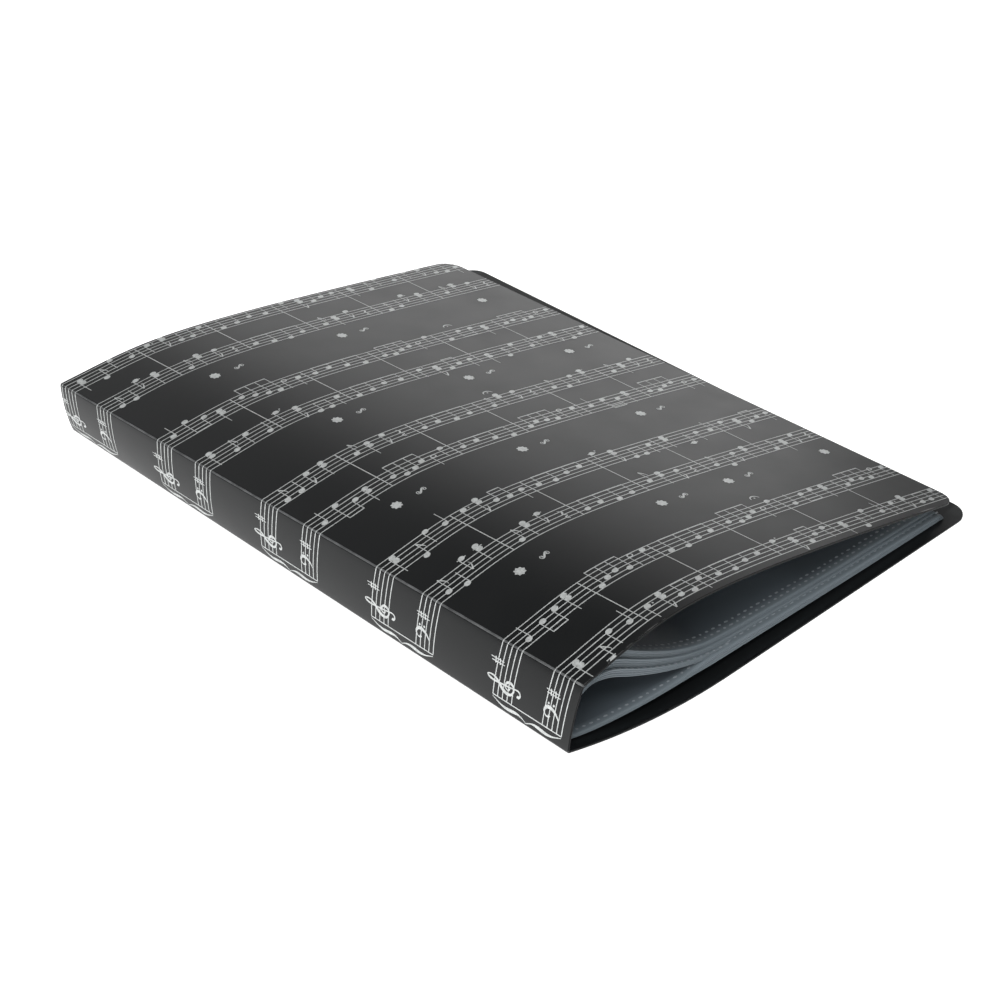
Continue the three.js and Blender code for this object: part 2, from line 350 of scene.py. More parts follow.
# Bulge of the front cover over its chord, as a Bezier curve
crown_handles = (Vector((0, 0)), Vector((0.214, 1.07)), Vector((0.2, 1.6)), Vector((1, 0)))


def mix(a, b, share):
    return a + (b - a) * share


def bezier(handles, t):
    a, b, c, d = handles
    u = 1 - t
    return a * u**3 + b * (3 * t * u * u) + c * (3 * t * t * u) + d * t**3


def crown_at(share):
    low, high = -0.1, 1.1
    for _ in range(crown_halvings):
        middle = (low + high) / 2
        if bezier(crown_handles, middle).x < share:
            low = middle
        else:
            high = middle
    return bezier(crown_handles, low).y


# Heights of the bulge, looked up instead of solved at each point
crown_first = -0.02
crown_last = 1.03
crown_step = 0.0005
crown_count = round((crown_last - crown_first) / crown_step) + 1
crown_table = [crown_at(crown_first + i * crown_step) for i in range(crown_count)]


def crown(share):
    place = (share - crown_first) / crown_step
    i = min(max(int(place), 0), len(crown_table) - 2)
    return mix(crown_table[i], crown_table[i + 1], place - i)


def wrapper():
    return bpy.context.scene.folder_wrapper


def pockets():
    return bpy.context.scene.folder_pockets


def music_print():
    return bpy.context.scene.folder_print


def finishes():
    return bpy.context.scene.folder_finish


def end_share(y):
    return y / wrapper().cover_height + 0.5


def at_section(name, y):
    return mix(TAIL_END[name], HEAD_END[name], end_share(y))


# Points of a section at y are (x, z), with x from the back crease


def back_crease(y):
    return Vector((0, at_section("crease_height", y)))


def crease_top(end):
    lean = end["spine_lean"]
    width = end["spine_width"]
    return Vector((width * math.sin(lean), end["crease_height"] + width * math.cos(lean)))


def front_crease(y):
    return crease_top(TAIL_END).lerp(crease_top(HEAD_END), end_share(y))


def front_outer(share, y):
    crease = front_crease(y)
    chord = mix(crease.y, at_section("fore_height", y), share)
    bulge = at_section("crown_height", y) * crown(share)
    return Vector((crease.x + share * at_section("front_reach", y), chord + bulge))


def back_outer(share, y):
    x = share * wrapper().back_cover_width
    rise = max(0, 1 - x / back_rise_reach)
    return Vector((x, at_section("crease_height", y) * rise * rise))


def spine_outer(share, y):
    bottom, top = back_crease(y), front_crease(y)
    up = (top - bottom).normalized()
    bulge = wrapper().spine_bulge * max(0, 4 * share * (1 - share))
    return bottom.lerp(top, share) + Vector((-up.y, up.x)) * bulge


def tangent(panel, share, y):
    before = panel(max(0, share - tangent_reach), y)
    return (panel(share + tangent_reach, y) - before).normalized()


def lifted(panel, share, y, lift, side=1):
    along = tangent(panel, share, y)
    return panel(share, y) + Vector((-along.y, along.x)) * (side * lift)


def front_inner(share, y):
    return lifted(front_outer, share, y, -wrapper().board_thickness)


def back_inner(share, y):
    return lifted(back_outer, share, y, wrapper().board_thickness)


def between(width_share, height_share, y):
    return back_inner(width_share, y).lerp(front_inner(width_share, y), height_share)


def place(point, y):
    return Vector((crease_x + point.x, y, point.y))


# Where a panel ends at a crease: the outer corner of its pressed edge, and its inner corner
def panel_end(corner, along, other):
    sheet = wrapper()
    half = along.angle(other) / 2
    set_back = along * (mitre_clearance / 2 / math.sin(half))
    inward = (along + other).normalized()
    outer = corner + along * sheet.crease_width
    inner = corner + set_back + inward * (sheet.board_thickness / math.sin(half))
    return outer, inner


def spine_up(y):
    return (front_crease(y) - back_crease(y)).normalized()


def front_end(y):
    return panel_end(front_crease(y), tangent(front_outer, 0, y), -spine_up(y))


def spine_top_end(y):
    return panel_end(front_crease(y), -spine_up(y), tangent(front_outer, 0, y))


def back_end(y):
    return panel_end(back_crease(y), tangent(back_outer, 0, y), spine_up(y))


def spine_bottom_end(y):
    return panel_end(back_crease(y), spine_up(y), tangent(back_outer, 0, y))


# Mesh helpers


def make_object(name, points, faces, material, smooth=True):
    mesh = bpy.data.meshes.new(name)
    mesh.from_pydata([tuple(p) for p in points], [], faces)
    mesh.materials.append(material)
    mesh.polygons.foreach_set("use_smooth", [smooth] * len(mesh.polygons))
    mesh.update()
    obj = bpy.data.objects.new(name, mesh)
    bpy.context.scene.collection.objects.link(obj)
    return obj


def face_outwards(obj):
    shape = bmesh.new()
    shape.from_mesh(obj.data)
    bmesh.ops.recalc_face_normals(shape, faces=shape.faces)
    shape.to_mesh(obj.data)
    shape.free()


# A closed sheet between two skins, each a list of rows of points
def sheet_between(name, outer, inner, material):
    rows, columns = len(outer), len(outer[0])
    points = [p for row in outer for p in row] + [p for row in inner for p in row]
    step = rows * columns
    faces = []
    for row in range(rows - 1):
        for column in range(columns - 1):
            a = row * columns + column
            quad = (a, a + 1, a + 1 + columns, a + columns)
            faces.append(quad)
            faces.append(tuple(step + i for i in reversed(quad)))
    rim = list(range(columns))
    rim += [row * columns + columns - 1 for row in range(1, rows)]
    rim += [(rows - 1) * columns + column for column in range(columns - 2, -1, -1)]
    rim += [row * columns for row in range(rows - 2, 0, -1)]
    for a, b in zip(rim, rim[1:] + rim[:1]):
        faces.append((b, a, step + a, step + b))
    obj = make_object(name, points, faces, material)
    cut = obj.data.attributes.new("cut", "FLOAT", "FACE")
    cut.data.foreach_set("value", [float(i >= len(faces) - len(rim)) for i in range(len(faces))])
    face_outwards(obj)
    return obj


def soften_rim(obj, width):
    bevel = obj.modifiers.new("Softened rim", "BEVEL")
    bevel.width = width
    bevel.segments = 3
    bevel.limit_method = "ANGLE"
    bevel.angle_limit = math.radians(50)
    bevel.harden_normals = True


# Stores a share at each point of a piece, which its material reads by name
def store_share(obj, name, amount):
    share = obj.data.attributes.new(name, "FLOAT", "POINT")
    share.data.foreach_set("value", [amount(v.co) for v in obj.data.vertices])


# Materials


def new_material(name):
    material = bpy.data.materials.new(name)
    material.use_nodes = True
    tree = material.node_tree
    shader = tree.nodes["Principled BSDF"]
    return material, tree, shader


def add_node(tree, kind, at, **settings):
    node = tree.nodes.new(kind)
    node.location = at
    for name, value in settings.items():
        setattr(node, name, value)
    return node


def set_inputs(node, values):
    for name, value in values.items():
        node.inputs[name].default_value = value


def object_coordinates(tree):
    return add_node(tree, "ShaderNodeTexCoord", (-1200, 0)).outputs["Object"]


def attribute(tree, at, name):
    return add_node(tree, "ShaderNodeAttribute", at, attribute_name=name).outputs["Fac"]


def noise(tree, at, coordinates, scale, detail, roughness=0.55):
    node = add_node(tree, "ShaderNodeTexNoise", at)
    set_inputs(node, {"Scale": scale, "Detail": detail, "Roughness": roughness})
    tree.links.new(coordinates, node.inputs["Vector"])
    return node.outputs["Fac"]


# Stretches a span of values to another span
def spread(tree, at, value, span, to):
    node = add_node(tree, "ShaderNodeMapRange", at)
    set_inputs(node, {"From Min": span[0], "From Max": span[1], "To Min": to[0], "To Max": to[1]})
    tree.links.new(value, node.inputs["Value"])
    return node.outputs["Result"]


def bump(tree, at, height, distance, strength, before=None):
    node = add_node(tree, "ShaderNodeBump", at)
    set_inputs(node, {"Distance": distance, "Strength": strength})
    tree.links.new(height, node.inputs["Height"])
    if before is not None:
        tree.links.new(before, node.inputs["Normal"])
    return node.outputs["Normal"]


# Mixes two colours. The first is a colour or another node's output
def mix_colors(tree, at, share, first, second):
    node = add_node(tree, "ShaderNodeMix", at, data_type="RGBA")
    colors = {s.name: s for s in node.inputs if s.type == "RGBA"}
    if isinstance(first, bpy.types.NodeSocket):
        tree.links.new(first, colors["A"])
    else:
        colors["A"].default_value = first
    colors["B"].default_value = second
    tree.links.new(share, node.inputs["Factor"])
    return next(s for s in node.outputs if s.type == "RGBA")


def multiply(tree, at, a, b):
    node = add_node(tree, "ShaderNodeMath", at, operation="MULTIPLY", use_clamp=True)
    tree.links.new(a, node.inputs[0])
    tree.links.new(b, node.inputs[1])
    return node.outputs[0]


def shaded(color, share):
    return tuple(min(1, channel * share) for channel in color[:3]) + (1.0,)


# Satin black polypropylene: a fine pressed grain, long soft scuffs, edges rubbed paler, and the
# same paler colour painted over the creases as a highlight
def cover_polypropylene():
    finish = finishes()
    material, tree, shader = new_material("Cover polypropylene")
    where = object_coordinates(tree)
    grain = noise(tree, (-900, -300), where, scale=2600, detail=2.0)
    mottle = noise(tree, (-900, 0), where, scale=45, detail=4.0)
    scuffs = noise(tree, (-900, 300), where, scale=160, detail=5.0, roughness=0.7)
    # The share read here holds real rubbing at the cut edges and a painted highlight along the
    # creases
    wear = attribute(tree, (-900, 560), "wear")
    patchy = spread(tree, (-660, 380), scuffs, span=(0.3, 0.6), to=(0.35, 1.0))
    rubbed_and_highlit = multiply(tree, (-420, 480), wear, patchy)
    # Rubbed edges and the painted crease highlight both take the paler colour
    color = mix_colors(tree, (-200, 320), rubbed_and_highlit, finish.cover_color, finish.rub_and_highlight_color)
    tree.links.new(color, shader.inputs["Base Color"])
    gloss = spread(tree, (-660, 0), mottle, span=(0.3, 0.7), to=(0.3, 0.36))
    tree.links.new(gloss, shader.inputs["Roughness"])
    cut = attribute(tree, (-660, 700), "cut")
    shine = spread(tree, (-420, 700), cut, span=(0.0, 1.0), to=(0.29, 0.05))
    tree.links.new(shine, shader.inputs["Specular IOR Level"])
    set_inputs(shader, {"IOR": 1.5})
    pressed = bump(tree, (-420, -300), grain, distance=0.02 * MM, strength=0.35)
    uneven = bump(tree, (-200, -200), mottle, distance=0.05 * MM, strength=0.2, before=pressed)
    tree.links.new(uneven, shader.inputs["Normal"])
    return material


# Clear film: satin, with the slow waves of a soft sheet, and frosted towards its cut edge
def pocket_film():
    finish = finishes()
    material, tree, shader = new_material("Pocket film")
    where = object_coordinates(tree)
    cloud = noise(tree, (-900, 100), where, scale=14, detail=2.0)
    waves = noise(tree, (-900, -250), where, scale=32, detail=1.0)
    frost = attribute(tree, (-900, 400), "frost")
    share = spread(tree, (-660, 100), cloud, span=(0.35, 0.65), to=(0.0, 1.0))
    paler = shaded(finish.film_color, 1.35)
    clear = mix_colors(tree, (-440, 120), share, finish.film_color, paler)
    color = mix_colors(tree, (-220, 240), frost, clear, finish.margin_color)
    tree.links.new(color, shader.inputs["Base Color"])
    gloss = spread(tree, (-660, -100), cloud, span=(0.3, 0.7), to=(0.4, 0.5))
    tree.links.new(gloss, shader.inputs["Roughness"])
    set_inputs(shader, {"IOR": 1.49, "Specular IOR Level": 0.35})
    wavy = bump(tree, (-320, -250), waves, distance=0.4 * MM, strength=0.35)
    tree.links.new(wavy, shader.inputs["Normal"])
    return material


# Film frosted where it is welded
def frosted_film():
    base = finishes().weld_color
    material, tree, shader = new_material("Weld dots")
    where = object_coordinates(tree)
    frost = noise(tree, (-900, 100), where, scale=1500, detail=3.0)
    share = spread(tree, (-660, 100), frost, span=(0.35, 0.65), to=(0.0, 1.0))
    color = mix_colors(tree, (-320, 120), share, shaded(base, 0.8), base)
    tree.links.new(color, shader.inputs["Base Color"])
    gloss = spread(tree, (-660, -100), frost, span=(0.3, 0.7), to=(0.3, 0.45))
    tree.links.new(gloss, shader.inputs["Roughness"])
    set_inputs(shader, {"IOR": 1.49})
    grainy = bump(tree, (-320, -250), frost, distance=0.03 * MM, strength=0.3)
    tree.links.new(grainy, shader.inputs["Normal"])
    return material


# Screen print: thin silver ink, a little uneven where the grain shows through
def print_ink():
    base = finishes().ink_color
    material, tree, shader = new_material("Print ink")
    where = object_coordinates(tree)
    patches = noise(tree, (-900, 100), where, scale=700, detail=4.0, roughness=0.7)
    share = spread(tree, (-660, 100), patches, span=(0.35, 0.6), to=(0.0, 1.0))
    color = mix_colors(tree, (-320, 120), share, shaded(base, 0.72), base)
    tree.links.new(color, shader.inputs["Base Color"])
    gloss = spread(tree, (-660, -100), patches, span=(0.3, 0.7), to=(0.34, 0.44))
    tree.links.new(gloss, shader.inputs["Roughness"])
    set_inputs(shader, {"IOR": 1.45, "Metallic": 0.3})
    uneven = bump(tree, (-320, -250), patches, distance=0.01 * MM, strength=0.3)
    tree.links.new(uneven, shader.inputs["Normal"])
    return material


def finish_named(name, maker):
    return bpy.data.materials.get(name) or maker()


def cover_finish():
    return finish_named("Cover polypropylene", cover_polypropylene)


def film_finish():
    return finish_named("Pocket film", pocket_film)


def weld_finish():
    return finish_named("Weld dots", frosted_film)


def ink_finish():
    return finish_named("Print ink", print_ink)


# Covers


corner_steps = 8
middle_steps = 22
front_columns = 72
# Columns that fall inside the pressed band of the crease, and are left out
band_columns = 2
back_band = 3 * MM
rise_steps = 28
flat_steps = 12
spine_rows = 40
spine_columns = 14
spine_band_share = 0.06

edge_wear_share = 0.03
corner_wear_share = 0.2
corner_wear_reach = 12 * MM
wear_fade = 1.0 * MM


# Places along the height of a cover, close together round its corners
def cover_rows():
    sheet = wrapper()
    half = sheet.cover_height / 2
    radius = sheet.corner_radius
    turns = [i * math.pi / (2 * corner_steps) for i in range(corner_steps + 1)]
    corner = [half - radius + radius * math.cos(turn) for turn in turns]
    middle = [mix(half - radius, radius - half, i / middle_steps) for i in range(1, middle_steps)]
    return corner + middle + [-y for y in reversed(corner)]


# How far a round fore corner pulls the edge in, at a place along the height
def corner_pull(y):
    sheet = wrapper()
    radius = sheet.corner_radius
    past = abs(y) - (sheet.cover_height / 2 - radius)
    if past <= 0:
        return 0
    return radius - math.sqrt(max(0, radius * radius - past * past))


def cover_skins(rows, shares, panel, ends, limit, side):
    thickness = wrapper().board_thickness
    first = shares[0]
    outer_skin, inner_skin = [], []
    for y in rows:
        outer_end, inner_end = ends(y)
        outer_row, inner_row = [place(outer_end, y)], [place(inner_end, y)]
        for share in shares:
            reached = mix(first, limit(y), (share - first) / (1 - first))
            outer_row.append(place(panel(reached, y), y))
            inner_row.append(place(lifted(panel, reached, y, thickness, side), y))
        outer_skin.append(outer_row)
        inner_skin.append(inner_row)
    return outer_skin, inner_skin


# Rubbing falls off from the cut edges within a millimetre
def edge_wear(fore_at):
    half = wrapper().cover_height / 2

    def amount(co):
        to_end = half - abs(co.y)
        to_fore = fore_at(co.y) - corner_pull(co.y) - (co.x - crease_x)
        nearest = min(to_end, to_fore)
        at_corner = corner_pull(co.y) > 0 and to_fore < corner_wear_reach
        corner = corner_wear_share if at_corner else 0
        return max(0.0, edge_wear_share + corner - nearest / wear_fade)

    return amount


class MUSICFOLDER_OT_front_cover(bpy.types.Operator):
    """Front cover: a bent sheet that swells over the pockets, with round fore corners"""

    bl_idname = "music_folder.front_cover"
    bl_label = "Front cover"

    def execute(self, context):
        columns = range(band_columns, front_columns)
        shares = [bezier(crown_handles, i / front_columns).x for i in columns] + [1.0]

        def limit(y):
            return 1 - corner_pull(y) / at_section("front_reach", y)

        skins = cover_skins(cover_rows(), shares, front_outer, front_end, limit, -1)
        cover = sheet_between("front_board_sheet", *skins, cover_finish())
        store_share(cover, "wear", edge_wear(lambda y: front_outer(1, y).x))
        soften_rim(cover, wrapper().edge_softness)
        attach(cover, "front_board")
        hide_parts("front_cover")
        return {"FINISHED"}


class MUSICFOLDER_OT_back_cover(bpy.types.Operator):
    """Back cover: flat on the table, and curved up to its crease"""

    bl_idname = "music_folder.back_cover"
    bl_label = "Back cover"

    def execute(self, context):
        width = wrapper().back_cover_width
        risen = [mix(back_band, back_rise_reach, i / rise_steps) for i in range(rise_steps + 1)]
        rise = [x / width for x in risen]
        flat = [mix(rise[-1], 1, i / flat_steps) for i in range(1, flat_steps + 1)]

        def limit(y):
            return 1 - corner_pull(y) / width

        skins = cover_skins(cover_rows(), rise + flat, back_outer, back_end, limit, 1)
        cover = sheet_between("back_board_sheet", *skins, cover_finish())
        store_share(cover, "wear", edge_wear(lambda y: width))
        soften_rim(cover, wrapper().edge_softness)
        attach(cover, "back_board")
        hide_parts("back_cover")
        return {"FINISHED"}


class MUSICFOLDER_OT_spine_panel(bpy.types.Operator):
    """Spine panel, between the two creases"""

    bl_idname = "music_folder.spine_panel"
    bl_label = "Spine panel"

    def execute(self, context):
        sheet = wrapper()
        half = sheet.cover_height / 2
        outer_skin, inner_skin = [], []
        for i in range(spine_rows + 1):
            y = mix(half, -half, i / spine_rows)
            bottom, inner_bottom = spine_bottom_end(y)
            top, inner_top = spine_top_end(y)
            outer_row, inner_row = [place(bottom, y)], [place(inner_bottom, y)]
            for step in range(spine_columns - 1):
                up = step / (spine_columns - 2)
                share = mix(spine_band_share, 1 - spine_band_share, up)
                outer_row.append(place(spine_outer(share, y), y))
                inner = lifted(spine_outer, share, y, -sheet.board_thickness)
                inner_row.append(place(inner, y))
            outer_skin.append(outer_row + [place(top, y)])
            inner_skin.append(inner_row + [place(inner_top, y)])

        def wear(co):
            return max(0.0, edge_wear_share - (half - abs(co.y)) / wear_fade)

        panel = sheet_between("spine_sheet", outer_skin, inner_skin, cover_finish())
        store_share(panel, "wear", wear)
        soften_rim(panel, sheet.edge_softness)
        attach(panel, "spine_and_pockets")
        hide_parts("spine_panel")
        return {"FINISHED"}


# Creases


web_steps = 10
web_rows = 60
web_end_gap = 0.1 * MM
# How deep in the sheet the inner face of a web lies, as a share of the sheet's thickness
web_inner_depth = 0.75
# A crease's web takes this much of the paler rubbed colour: a painted highlight on its rounded
# edge
crease_highlight_share = 0.9


# A line across the thin web of a crease, from the spine round to the cover. The depth is a share
# of the sheet's thickness
def web_line(ends, corner, y, depth, lift=0.0):
    (spine_outer_end, spine_inner_end), (cover_outer_end, cover_inner_end) = ends
    first = spine_outer_end.lerp(spine_inner_end, depth)
    last = cover_outer_end.lerp(cover_inner_end, depth)
    inward = ((spine_inner_end + cover_inner_end) / 2 - corner).normalized()
    turn = corner + inward * (depth * (cover_inner_end - corner).length)
    points = []
    for i in range(web_steps + 1):
        t = i / web_steps
        point = first * (1 - t) ** 2 + turn * (2 * t * (1 - t)) + last * t * t
        points.append(place(point - inward * lift, y))
    return points


def crease_ends(name, y):
    if name == "front_crease":
        return (spine_top_end(y), front_end(y)), front_crease(y)
    return (spine_bottom_end(y), back_end(y)), back_crease(y)


# Works out the way across a crease, from the spine's edge to the cover's edge and square to the
# crease, and bakes the piece's place into its mesh
def bend_at(obj, name):
    ends, _ = crease_ends(name, 0)
    start = place(ends[0][0], 0)
    across = place(ends[1][0], 0) - start
    axis = Vector(joints[name]["axis"]).normalized()
    across -= axis * across.dot(axis)
    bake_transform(obj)


class MUSICFOLDER_OT_creases(bpy.types.Operator):
    """The two pressed creases: thin webs between the spine and the covers"""

    bl_idname = "music_folder.creases"
    bl_label = "Creases"

    def execute(self, context):
        sheet = wrapper()
        half = sheet.cover_height / 2 - web_end_gap
        rows = [mix(half, -half, i / web_rows) for i in range(web_rows + 1)]
        shallow = sheet.crease_depth / sheet.board_thickness
        for name, body in (("front_crease", "front_board"), ("back_crease", "back_board")):
            outer, inner = [], []
            for y in rows:
                ends, corner = crease_ends(name, y)
                outer.append(web_line(ends, corner, y, shallow))
                inner.append(web_line(ends, corner, y, web_inner_depth))
            web = sheet_between(f"{name}_web", outer, inner, cover_finish())
            # The whole web is painted paler, as a highlight along the crease
            store_share(web, "wear", lambda co: crease_highlight_share)
            bend_at(web, name)
        return {"FINISHED"}


# Printed music


print_edge_margin = 0.25 * MM
print_head_margin = 1.5 * MM
print_tail_margin = 3.9 * MM
staff_drop = 25.4 * MM
system_count = 5
staff_lines = 5
spine_bar_inset = 5.0 * MM
front_print_reach = (TAIL_END["front_reach"] + HEAD_END["front_reach"]) / 2
spine_print_reach = (TAIL_END["spine_width"] + HEAD_END["spine_width"]) / 2
front_bar_line_width = 0.46 * MM
spine_bar_line_width = 0.45 * MM
last_bar_margin = 10 * MM
# Pieces that a line is cut into, to follow the bend of its panel
front_line_pieces = 90
spine_line_pieces = 14
bar_line_pieces = 6
beam_pieces = 8

# Order in which the shapes of ink lie over each other, from the sheet outwards
line_layer = 0
bar_layer = 2
brace_layer = 3
ledger_layer = 3
sign_layer = 4
stem_layer = 5
head_layer = 6
beam_layer = 7
layer_height = 0.004 * MM
# Rise of a sign along its stroke, in layers a station, where the stroke crosses itself
stroke_rise = 0.05


def system_top(system):
    height = staff_drop + (staff_lines - 1) * music_print().line_spacing
    run = wrapper().cover_height - print_head_margin - print_tail_margin - height
    first = wrapper().cover_height / 2 - print_head_margin
    return first - system * run / (system_count - 1)


def staff_top(system, staff):
    return system_top(system) - staff * staff_drop


def staff_foot(system, staff):
    return staff_top(system, staff) - (staff_lines - 1) * music_print().line_spacing


# Heights of the ten lines of a system, its treble staff first
def line_heights(system):
    spacing = music_print().line_spacing
    tops = [staff_top(system, staff) for staff in (0, 1)]
    return [top - line * spacing for top in tops for line in range(staff_lines)]


def on_front(across, y, lift):
    share = across / front_print_reach
    return place(lifted(front_outer, share, y, lift), y)


def on_spine(across, y, lift):
    share = across / spine_print_reach
    return place(lifted(spine_outer, share, y, lift), y)


# Collects flat shapes drawn in (across, y) and lays them on a panel as thin ink
class Ink:
    def __init__(self, on_panel):
        self.on_panel = on_panel
        self.lift = music_print().ink_lift
        self.points = []
        self.faces = []

    def add_point(self, across, y, layer):
        edge = wrapper().cover_height / 2 - print_edge_margin
        y = max(-edge, min(edge, y))
        self.points.append(self.on_panel(across, y, self.lift + layer * layer_height))
        return len(self.points) - 1

    # A closed outline, filled
    def fill(self, outline, layer):
        ids = [self.add_point(x, y, layer) for x, y in outline]
        flat = [Vector((x, y, 0)) for x, y in outline]
        for triangle in tessellate_polygon([flat]):
            self.faces.append(tuple(ids[i] for i in triangle))

    # A line of changing width through points (across, y, width)
    def brush(self, stations, layer, rising=False):
        last = None
        for i, (x, y, width) in enumerate(stations):
            ahead = stations[min(i + 1, len(stations) - 1)]
            behind = stations[max(i - 1, 0)]
            along = Vector((ahead[0] - behind[0], ahead[1] - behind[1])).normalized()
            side = Vector((-along.y, along.x)) * (width / 2)
            height = layer + (i * stroke_rise if rising else 0)
            left = self.add_point(x + side.x, y + side.y, height)
            right = self.add_point(x - side.x, y - side.y, height)
            if last is not None:
                self.faces.append((last[0], last[1], right, left))
            last = (left, right)

    def line(self, start, end, width, layer, pieces=1):
        stations = []
        for i in range(pieces + 1):
            share = i / pieces
            stations.append((mix(start[0], end[0], share), mix(start[1], end[1], share), width))
        self.brush(stations, layer)

    def build(self, name, body, replaced):
        obj = make_object(name, self.points, self.faces, ink_finish())
        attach(obj, body)
        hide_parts(*replaced)


# A smooth path through points, with as many numbers in each as the points have
def smooth_path(points, steps=6):
    path = []
    count = len(points)
    for i in range(count - 1):
        p0 = Vector(points[max(i - 1, 0)])
        p1 = Vector(points[i])
        p2 = Vector(points[i + 1])
        p3 = Vector(points[min(i + 2, count - 1)])
        for step in range(steps):
            t = step / steps
            v0, v1 = (p2 - p0) / 2, (p3 - p1) / 2
            path.append(
                (p1 * 2 - p2 * 2 + v0 + v1) * t**3
                + (p2 * 3 - p1 * 3 - v0 * 2 - v1) * t**2
                + v0 * t
                + p1
            )
    path.append(Vector(points[-1]))
    return path


round_sides = 18


def round_outline(x, y, half_length, half_width, turn=0.0):
    outline = []
    for i in range(round_sides):
        angle = 2 * math.pi * i / round_sides
        along, across = half_length * math.cos(angle), half_width * math.sin(angle)
        out = x + along * math.cos(turn) - across * math.sin(turn)
        up = y + along * math.sin(turn) + across * math.cos(turn)
        outline.append((out, up))
    return outline


# Signs, drawn with a staff space as the unit. Each point is (across, up, width). The turn is
# an S lying on its side
TREBLE_CLEF = [
    (0.05, 0.68, 0.16),
    (-0.38, 0.9, 0.2),
    (-0.38, 1.4, 0.24),
    (0.1, 1.72, 0.3),
    (0.72, 1.4, 0.42),
    (0.88, 0.7, 0.46),
    (0.5, 0.05, 0.36),
    (-0.2, -0.08, 0.3),
    (-0.95, 0.4, 0.42),
    (-1.08, 1.3, 0.54),
    (-0.66, 2.3, 0.54),
    (0.0, 3.1, 0.42),
    (0.52, 4.0, 0.32),
    (0.6, 4.9, 0.26),
    (0.36, 5.55, 0.2),
    (0.02, 5.1, 0.34),
    (-0.12, 4.1, 0.34),
    (0.02, 2.3, 0.26),
    (0.22, 0.4, 0.24),
    (0.38, -0.7, 0.24),
    (0.2, -1.3, 0.28),
    (-0.25, -1.5, 0.3),
    (-0.62, -1.2, 0.46),
    (-0.5, -0.92, 0.5),
]
BASS_CLEF = [
    (-0.55, 2.85, 0.6),
    (-0.9, 3.0, 0.42),
    (-0.98, 3.5, 0.24),
    (-0.6, 3.98, 0.26),
    (0.05, 4.12, 0.46),
    (0.7, 3.7, 0.66),
    (0.85, 2.9, 0.66),
    (0.55, 1.95, 0.5),
    (-0.1, 1.1, 0.32),
    (-1.0, 0.45, 0.1),
]
QUARTER_REST = [
    (-0.25, 3.4, 0.1),
    (0.25, 2.7, 0.3),
    (-0.15, 2.15, 0.34),
    (0.3, 1.5, 0.14),
    (-0.3, 1.25, 0.26),
    (-0.25, 0.85, 0.24),
    (0.1, 0.55, 0.1),
]
TURN = [
    (-1.0, -0.35, 0.5),
    (-0.72, -0.1, 0.34),
    (-0.95, 0.3, 0.18),
    (-1.4, 0.1, 0.2),
    (-1.45, -0.5, 0.22),
    (-0.8, -0.75, 0.34),
    (0.0, 0.0, 0.5),
    (0.8, 0.75, 0.34),
    (1.45, 0.5, 0.22),
    (1.4, -0.1, 0.2),
    (0.95, -0.3, 0.18),
    (0.72, 0.1, 0.34),
    (1.0, 0.35, 0.5),
]


def draw_sign(ink, sign, x, y, unit):
    path = smooth_path(sign)
    stations = [(x + p[0] * unit, y + p[1] * unit, p[2] * unit) for p in path]
    ink.brush(stations, sign_layer, rising=True)


# A sharp, in staff spaces: two uprights, and two bars that rise to the right
sharp_upright_half = 1.35
sharp_upright_width = 0.14
sharp_upright_sides = (-0.24, 0.24)
# The right upright stands higher than the left one, by this share of the way between them
sharp_upright_climb = 0.5
sharp_bar_half = 0.5
sharp_bar_rise = 0.12
sharp_bar_width = 0.24
sharp_bar_heights = (-0.46, 0.46)


def draw_sharp(ink, x, y, unit):
    for side in sharp_upright_sides:
        foot = y + (side * sharp_upright_climb - sharp_upright_half) * unit
        top = foot + 2 * sharp_upright_half * unit
        at = x + side * unit
        ink.line((at, foot), (at, top), sharp_upright_width * unit, sign_layer)
    for up in sharp_bar_heights:
        left = (x - sharp_bar_half * unit, y + (up - sharp_bar_rise) * unit)
        right = (x + sharp_bar_half * unit, y + (up + sharp_bar_rise) * unit)
        ink.line(left, right, sharp_bar_width * unit, sign_layer + 1)


asterisk_petals = 8
asterisk_sides = 64
# Half of the share of the radius by which the outline is drawn in between two petals
asterisk_waist = 0.11


def draw_asterisk(ink, x, y, size):
    outline = []
    for i in range(asterisk_sides):
        angle = 2 * math.pi * i / asterisk_sides
        drawn_in = asterisk_waist * (1 - math.cos(asterisk_petals * angle))
        radius = size / 2 * (1 - drawn_in)
        outline.append((x + radius * math.cos(angle), y + radius * math.sin(angle)))
    ink.fill(outline, sign_layer)


# A fermata: an arc that is thickest at its middle, over a dot
fermata_steps = 14
fermata_half = 1.25
fermata_rise = 1.1
fermata_thin = 0.12
fermata_swell = 0.24
fermata_dot_rise = 0.3
fermata_dot_radius = 0.22


def draw_fermata(ink, x, y, unit):
    arc = []
    for i in range(fermata_steps + 1):
        angle = math.pi * i / fermata_steps
        across = x + fermata_half * unit * math.cos(angle)
        up = y + fermata_rise * unit * math.sin(angle)
        arc.append((across, up, (fermata_thin + fermata_swell * math.sin(angle)) * unit))
    ink.brush(arc, sign_layer)
    radius = fermata_dot_radius * unit
    ink.fill(round_outline(x, y + fermata_dot_rise * unit, radius, radius), sign_layer)


# Notes


note_length = 3.3 * MM
note_height = 2.35 * MM
note_turn = math.radians(16)
# Steps of a staff run up from 0 at its lowest line: lines are even and spaces are odd
top_step = 2 * (staff_lines - 1)
ring_half_length = 1.35 * MM
ring_half_height = 0.95 * MM
ring_width = 0.5 * MM
ledger_half = 2.3 * MM
stem_width = 0.36 * MM
stem_length = 8.0 * MM
# From the middle of a head to the middle of its stem
stem_offset = (note_length - stem_width) / 2
